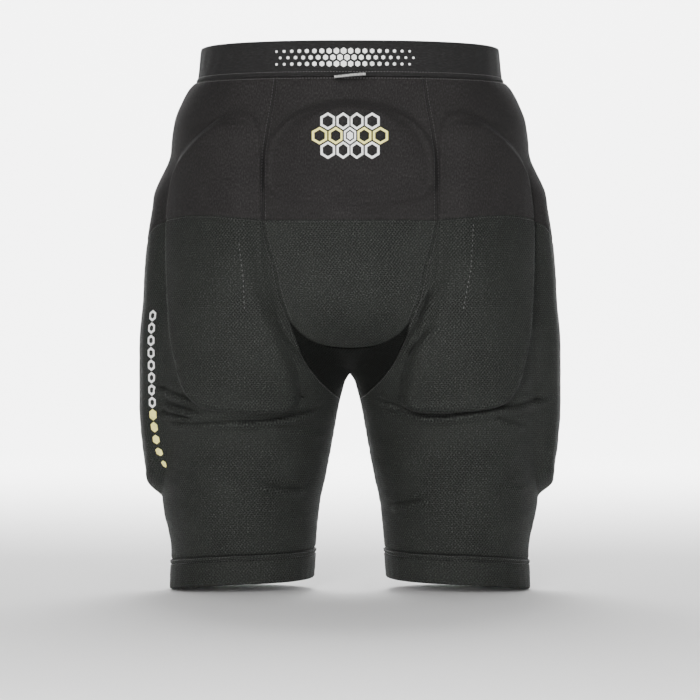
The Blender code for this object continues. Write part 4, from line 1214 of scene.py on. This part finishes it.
def label_loop(material):
    """A folded tag that stands out of the band's lower seam, its fold a little uneven."""
    drop = np.float64(BAND_HEIGHT)
    root = place(turn_at(np.float64(0), drop), drop, CLOTH_EASE + BAND_WALL * 0.5)
    nose = TAG_LENGTH - TAG_THICK / 2
    turns = np.linspace(0, np.pi, 13)
    half = TAG_THICK / 2
    profile = [(out, half) for out in np.linspace(-TAG_ROOT, nose, 8)[:-1]]
    profile += [(nose + half * np.sin(a), half * np.cos(a)) for a in turns]
    profile += [(out, -half) for out in np.linspace(nose, -TAG_ROOT, 8)[1:]]
    profile = np.array(profile)
    walked = walked_line(profile)
    x = TAG_WIDTH * np.linspace(-0.5, 0.5, 41)
    tilt = np.radians(TAG_TILT)
    sag = TAG_SAG * np.sin(x / 0.011 + 0.7)
    faces = []
    for shrink in (0.0, TAPE_WALL):
        out = profile[:, 0] - np.where(profile[:, 0] > nose, shrink * 0.9, 0)
        up = profile[:, 1] * (1 - shrink / half * 0.9)
        grid = np.empty((len(profile), len(x), 3))
        grid[..., 0] = x * np.cos(tilt) - up[:, None] * np.sin(tilt)
        grid[..., 1] = root[1] - out[:, None] - sag * np.clip(out / nose, 0, 1)[:, None]
        grid[..., 2] = root[2] + x * np.sin(tilt) + up[:, None] * np.cos(tilt) + sag
        faces.append(grid)
    uv = np.stack(np.broadcast_arrays(x[None, :], (walked - walked[-1] / 2)[:, None]), axis=-1)
    finished(skin("label_tape", faces[1], faces[0], uv=uv), "tag_tape", material, "label_loop")


# Stitches and prints, laid on the fabric's outer face

def cloth_surface():
    """Every outer grid as one surface to find the nearest point on."""
    points, faces = [], []
    for grid in OUTER_FACES:
        rows, across = grid.shape[:2]
        index = np.arange(rows * across).reshape(rows, across) + sum(len(p) for p in points)
        points.append(grid.reshape(-1, 3))
        faces.append(quads(index))
    return BVHTree.FromPolygons(np.concatenate(points).tolist(), np.concatenate(faces).tolist())


def laid(surface, guess, lift):
    """Points moved onto the cloth's face and lifted from it, with the face's normals."""
    spots, normals = np.empty(guess.shape), np.empty(guess.shape)
    for i, point in enumerate(guess.reshape(-1, 3)):
        spot, normal, _, _ = surface.find_nearest(Vector(point))
        away = Vector((point[0] - np.clip(point[0], -LEG_MIDDLE, LEG_MIDDLE), point[1], 0))
        if normal.dot(away) < 0:
            normal = -normal
        spots.reshape(-1, 3)[i] = spot
        normals.reshape(-1, 3)[i] = normal
    return spots + normals * lift, normals


def seam_points(turn, drop, side, beside=0.0, pitch=STITCH_PITCH):
    """Points spaced evenly along a seam, moved sideways from it, on the half's cloth."""
    line = np.stack([np.asarray(turn) * ARC, np.asarray(drop)], axis=1)
    way = unit(np.gradient(line, axis=0))
    line = line + np.stack([-way[:, 1], way[:, 0]], axis=1) * beside
    world = place(line[:, 0] / ARC, line[:, 1], CLOTH_EASE + CLOTH_WALL, side)
    walked = walked_line(world)
    count = max(int(walked[-1] / pitch), 2)
    at = (np.arange(count) + 0.5) * walked[-1] / count
    ends = []
    for shift in (-STITCH_LENGTH / 2, STITCH_LENGTH / 2):
        spot = np.clip(at + shift, 0, walked[-1])
        ends.append(np.stack([np.interp(spot, walked, world[:, i]) for i in range(3)], axis=1))
    return np.stack(ends, axis=1) * FLIP[side]


THREAD_RINGS = (("share", "size", "rise"), (0.0, 0.35, -0.9), (0.22, 1.0, 0.0), (0.78, 1.0, 0.0),
                (1.0, 0.35, -0.9))
THREAD_SIDES = 6
THREAD_RISE = 0.35       # share of its radius that a thread's middle stands above the cloth


def stitch_rows(name, rows, surface, material, radius=STITCH_RADIUS):
    """One mesh of short threads whose ends sink into the cloth."""
    ends, normals = laid(surface, np.concatenate(rows), radius * THREAD_RISE)
    start, stop = ends[:, 0], ends[:, 1]
    normal = normals.mean(axis=1)
    beside = unit(np.cross(stop - start, normal))
    rings, sides = THREAD_RINGS[1:], THREAD_SIDES
    points = []
    for share, size, rise in rings:
        middle = start + (stop - start) * share + normal * radius * rise
        for k in range(sides):
            a = FULL_TURN * k / sides
            points.append(middle + radius * size * (np.cos(a) * beside + np.sin(a) * normal))
    points = np.stack(points, axis=1)
    faces = []
    for r in range(len(rings) - 1):
        for k in range(sides):
            a, b = r * sides + k, r * sides + (k + 1) % sides
            faces.append((a, b, b + sides, a + sides))
    last = (len(rings) - 1) * sides
    for base in (0, last):
        for k in (0, 2):
            faces.append(tuple(base + (k + n) % sides for n in range(4)))
    faces = np.array(faces)
    stride = len(rings) * sides
    every = (faces[None] + np.arange(len(points))[:, None, None] * stride).reshape(-1, 4)
    finished(mesh_piece(name, points.reshape(-1, 3), every), "mesh_knit", material)


BESIDE_SEAM = 0.0017     # from a seam to the row of stitches beside it
HEM_STITCHES = (0.0255, 0.0225)     # above the hem's foot
BAND_STITCHES = (-0.0035, 0.0018)   # below the band's lower seam


def all_stitches(surface, dark, pale):
    """Rows beside every seam, on both halves."""
    turn, drop = leg_grid()
    yoke_turn, yoke_drop = yoke_side_grid()
    seat, gusset, _ = LEG_ROWS
    rows, band = [], []
    for side in FLIP:
        for turns, drops, beside in (
                (yoke_turn[:, 0], yoke_drop[:, 0], BESIDE_SEAM),
                (yoke_turn[:, 0], yoke_drop[:, 0], -BESIDE_SEAM),
                (turn[0], drop[0], -BESIDE_SEAM),
                (turn[:seat + gusset + 1, 0], drop[:seat + gusset + 1, 0], BESIDE_SEAM),
                (turn[:seat, 0], drop[:seat, 0], -BESIDE_SEAM),
                (turn[seat + gusset:, 0], drop[seat + gusset:, 0], BESIDE_SEAM)):
            rows.append(seam_points(turns, drops, side, beside))
        for above in HEM_STITCHES:
            rows.append(seam_points(turn[-1], hem_drop(turn[-1], above), side))
        first = turn_at(0.0, BAND_HEIGHT)
        around = np.linspace(first, front_middle_turn(np.float64(BAND_HEIGHT)), 240)
        for below in BAND_STITCHES:
            band.append(seam_points(around, np.full(240, BAND_HEIGHT + below), side))
    foot_x = np.linspace(0, YOKE_SIDE_SEAM[-1][0] * HIP_HALF, 60)
    foot = np.full(60, YOKE_CORNER)
    for side in FLIP:
        rows.append(seam_points(turn_at(foot_x, foot), foot + BESIDE_SEAM, side))
    stitch_rows("seam_stitches", rows, surface, dark)
    stitch_rows("band_stitches", band, surface, pale)


TACK_PITCH = 0.0046
TACK_RADIUS = 0.0003
DOTTED_LINES = {"left": ((0.545, 0.365), (0.525, 0.430), (0.520, 0.487)),
                "right": ((0.600, 0.330), (0.590, 0.410), (0.555, 0.487))}


def dotted_lines(surface, material):
    """The faint dotted line where each hip pad is tacked to the fabric."""
    rows = []
    for side, line in DOTTED_LINES.items():
        x, drop = np.array(line).T * [[HIP_HALF], [LENGTH]]
        at = np.linspace(0, 1, 30)
        x, drop = (np.interp(at, np.linspace(0, 1, len(v)), v) for v in (x, drop))
        rows.append(seam_points(turn_at(x, drop), drop, side, pitch=TACK_PITCH))
    stitch_rows("tack_stitches", rows, surface, material, TACK_RADIUS)


LEAST_HOLE = 0.02        # share of a solid cell's size that stays open at its middle


def hexagon(centre, size, hole=0.0, steps=4):
    """Rows of (across, down) points from a hexagon's outer edge to its hole or middle."""
    corners = np.array([(np.cos(a), np.sin(a)) for a in np.radians(np.arange(0, 360, 60) + 30)])
    edge = np.concatenate([corners[i] + (corners[(i + 1) % 6] - corners[i]) * (k / steps)
                           for i in range(6) for k in range(steps)]).reshape(-1, 2)
    rings = np.linspace(1.0, max(hole, LEAST_HOLE), 4)
    return np.array(centre) + edge[None] * rings[:, None, None] * size


def printed(name, shapes, to_cloth, surface, material):
    """Thin raised print made of closed plates, each laid on the cloth."""
    points, faces, count = [], [], 0
    for shape in shapes:
        rings, around = shape.shape[:2]
        top, normal = laid(surface, to_cloth(shape), 0.0)
        rise = np.full(rings, PRINT_THICK)
        rise[0] = rise[-1] = PRINT_THICK * 0.7
        outer = top + normal * rise[:, None, None]
        under = top - normal * PRINT_THICK
        index = np.arange(rings * around).reshape(rings, around)
        index = np.concatenate([index, index[:, :1]], axis=1) + count
        size = rings * around
        faces += [quads(index), quads(index)[:, ::-1] + size]
        for line in (index[0], index[-1][::-1]):
            faces.append(np.stack([line[1:], line[:-1], line[:-1] + size, line[1:] + size], axis=-1))
        points += [outer.reshape(-1, 3), under.reshape(-1, 3)]
        count += 2 * size
    finished(mesh_piece(name, np.concatenate(points), np.concatenate(faces)), "print", material)


def on_back(shape):
    """(x, drop) points to a guess on the cloth of the back."""
    x, drop = shape[..., 0], shape[..., 1]
    turn = turn_at(np.abs(x), drop)
    return mirrored(place(turn, drop, CLOTH_EASE + CLOTH_WALL), x)


def on_band(shape):
    x, drop = shape[..., 0], shape[..., 1]
    return mirrored(place(turn_at(np.abs(x), drop), drop, CLOTH_EASE + BAND_WALL), x)


def on_left_side(shape):
    """(arc, drop) points round the left side."""
    return place(shape[..., 0] / ARC, shape[..., 1], CLOTH_EASE + CLOTH_WALL) * FLIP["left"]


BAND_PRINT = (-0.0060, 0.0155)      # x and drop of the middle of the band's dots
BAND_DOT = 0.0030        # the largest dot, at the middle
BAND_DOTS_ACROSS = 0.0066
BAND_DOTS_DOWN = 0.005742
BAND_DOTS_OUT = 9        # dots on each side of the middle, getting smaller by this share
BAND_DOTS_FADE = 0.62
CELL = 0.0150            # between the tailbone honeycomb's cells
CELL_ROW = 0.866         # share of that between its rows, and the cells' own size
CELL_SIZE = 0.52
CELL_DROP = 0.0865       # its middle row
CELLS = {-1: (-1.5, -0.5, 0.5, 1.5), 0: (-2, -1, 0, 1, 2), 1: (-1.5, -0.5, 0.5, 1.5)}
SIDE_PRINT_ANGLE = 32.0  # the side column: its place, the drop of its first cell and its cells
SIDE_PRINT_DROP = 0.245
SIDE_STEP = 0.0112
SIDE_CELL = 0.0052
SIDE_RINGS = 8           # open cells, then solid ones that get smaller
SIDE_SOLID = 5
SIDE_SHRINK = 0.09


def prints(surface, white, yellow):
    """Generic honeycomb prints where the photo has words and marks."""
    dots, reach_out = [], BAND_DOTS_OUT * BAND_DOTS_ACROSS
    for row in (0, 1, 2):
        for k in range(-BAND_DOTS_OUT, BAND_DOTS_OUT + 1):
            x = (k + 0.5 * (row % 2)) * BAND_DOTS_ACROSS
            spot = (BAND_PRINT[0] + x, BAND_PRINT[1] + (row - 1) * BAND_DOTS_DOWN)
            size = BAND_DOT * (1 - BAND_DOTS_FADE * min(abs(x) / reach_out, 1))
            dots.append(hexagon(spot, size, steps=2))
    printed("band_print", dots, on_band, surface, white)
    pale, warm = [], []
    for row, places in CELLS.items():
        for k in places:
            spot = (k * CELL, CELL_DROP + row * CELL * CELL_ROW)
            ring = hexagon(spot, CELL * CELL_SIZE, hole=0.70)
            (warm if row == 0 and k != 0 else pale).append(ring)
    pale.append(hexagon((0.0, CELL_DROP), CELL * CELL_SIZE / 2, steps=2))
    printed("tailbone_print", pale, on_back, surface, white)
    printed("tailbone_print_warm", warm, on_back, surface, yellow)
    arc = np.radians(SIDE_PRINT_ANGLE) * ARC
    spots = [(arc, SIDE_PRINT_DROP + k * SIDE_STEP) for k in range(SIDE_RINGS + SIDE_SOLID)]
    column = [hexagon(spot, SIDE_CELL, hole=0.55) for spot in spots[:SIDE_RINGS]]
    printed("side_print", column, on_left_side, surface, white)
    tail = [hexagon(spot, SIDE_CELL * (1 - SIDE_SHRINK * k))
            for k, spot in enumerate(spots[SIDE_RINGS:])]
    printed("side_print_warm", tail, on_left_side, surface, yellow)


# The studio: a pale floor that curves up behind, soft lights and the camera

CAMERA_BACK = 3.2
EYE_DROP = 0.276
FIELD = 0.644            # width of the view at the side line
SENSOR = 36.0
FLOOR = -0.4962
FLOOR_FRONT = -6.0
FLOOR_HALF = 7.0
SWEEP_FROM = 3.9         # behind the middle, where the floor starts to curve up
SWEEP = 1.6              # radius of that curve
SWEEP_TOP = 6.0
AIR = 0.14               # strength of the even light from all round
GARMENT = (0.0, 0.0, -0.25)
WHITE = (1.0, 1.0, 1.0)
LAMPS = (
    ("name", "place", "aim", "size", "power", "colour"),
    ("key", (-0.35, -2.5, -0.05), GARMENT, 0.6, 88.0, (1.0, 0.99, 0.98)),
    ("fill", (0.95, -2.3, -0.02), GARMENT, 0.8, 26.0, (0.98, 0.99, 1.0)),
    ("wash", (0.0, 1.6, 1.5), (0.0, 0.5, -0.25), 1.2, 60.0, WHITE),
    ("rim_left", (-2.0, 0.2, 0.5), GARMENT, 1.0, 0.8, WHITE),
    ("rim_right", (2.0, 0.2, 0.5), GARMENT, 1.0, 0.8, WHITE),
    ("backdrop_left", (-1.3, 2.6, 2.2), (-1.3, 5.0, 0.3), 1.4, 380.0, WHITE),
    ("backdrop_right", (1.3, 2.6, 2.2), (1.3, 5.0, 0.3), 1.4, 380.0, WHITE),
)


def put(name, data, place_at, turned):
    """A lamp or camera in the scene, at this place and turned so."""
    thing = bpy.data.objects.new(name, data)
    thing.location, thing.rotation_euler = place_at, turned
    bpy.context.scene.collection.objects.link(thing)
    return thing


def studio():
    """The floor and backdrop, the lamps, the air and the camera."""
    turns = np.linspace(0.1, np.pi / 2, 14)
    deep = np.concatenate([np.linspace(FLOOR_FRONT, SWEEP_FROM, 8), SWEEP_FROM + SWEEP * np.sin(turns)])
    high = np.concatenate([np.zeros(8), SWEEP - SWEEP * np.cos(turns)])
    deep, high = np.append(deep, deep[-1]), np.append(high, SWEEP_TOP)
    grid = np.array([[(x, y, FLOOR + z) for x in (-FLOOR_HALF, FLOOR_HALF)]
                     for y, z in zip(deep, high)])
    index = np.arange(len(grid) * 2).reshape(-1, 2)
    sweep = mesh_piece("studio_floor", grid.reshape(-1, 3), quads(index))
    sweep.data.materials.append(graph("studio_paper", grey(0.95), 0.95, specular=0.1)[0])
    for name, spot, aim, size, power, colour in LAMPS[1:]:
        lamp = bpy.data.lights.new(name, "AREA")
        lamp.shape, lamp.size, lamp.energy, lamp.color = "DISK", size, power, colour
        put(name, lamp, spot, (Vector(aim) - Vector(spot)).to_track_quat("-Z", "Y").to_euler())
    world = bpy.data.worlds.new("studio_air")
    world.use_nodes = True
    air = world.node_tree.nodes["Background"]
    air.inputs["Color"].default_value = (*WHITE, 1.0)
    air.inputs["Strength"].default_value = AIR
    bpy.context.scene.world = world
    camera = bpy.data.cameras.new("camera")
    camera.sensor_width = SENSOR
    camera.lens = SENSOR * CAMERA_BACK / FIELD
    camera.clip_start, camera.clip_end = 0.05, 50.0
    bpy.context.scene.camera = put("camera", camera, (0.0, -CAMERA_BACK, -EYE_DROP),
                                   (np.pi / 2, 0.0, 0.0))


def main():
    studio()
    smooth, mesh = smooth_stretch(), mesh_knit()
    fabric_panels(smooth, mesh)
    # the gusset's knit at 0.30 of the mesh knit's colour is painted shade between the legs
    gusset_panel(mesh_knit("gusset_knit_painted_shade", 0.30))
    waistband(waistband_elastic())
    hems(mesh)
    foam_pads(foam())
    label_loop(tag_tape())
    surface = cloth_surface()
    all_stitches(surface, thread("dark_thread", (0.016, 0.016, 0.016)),
                 thread("band_thread", (0.075, 0.072, 0.072)))
    dotted_lines(surface, thread("tack_thread", (0.07, 0.07, 0.07)))
    prints(surface, print_ink("white_ink", (0.78, 0.78, 0.77)),
           print_ink("pale_yellow_ink", (0.80, 0.74, 0.22)))


main()
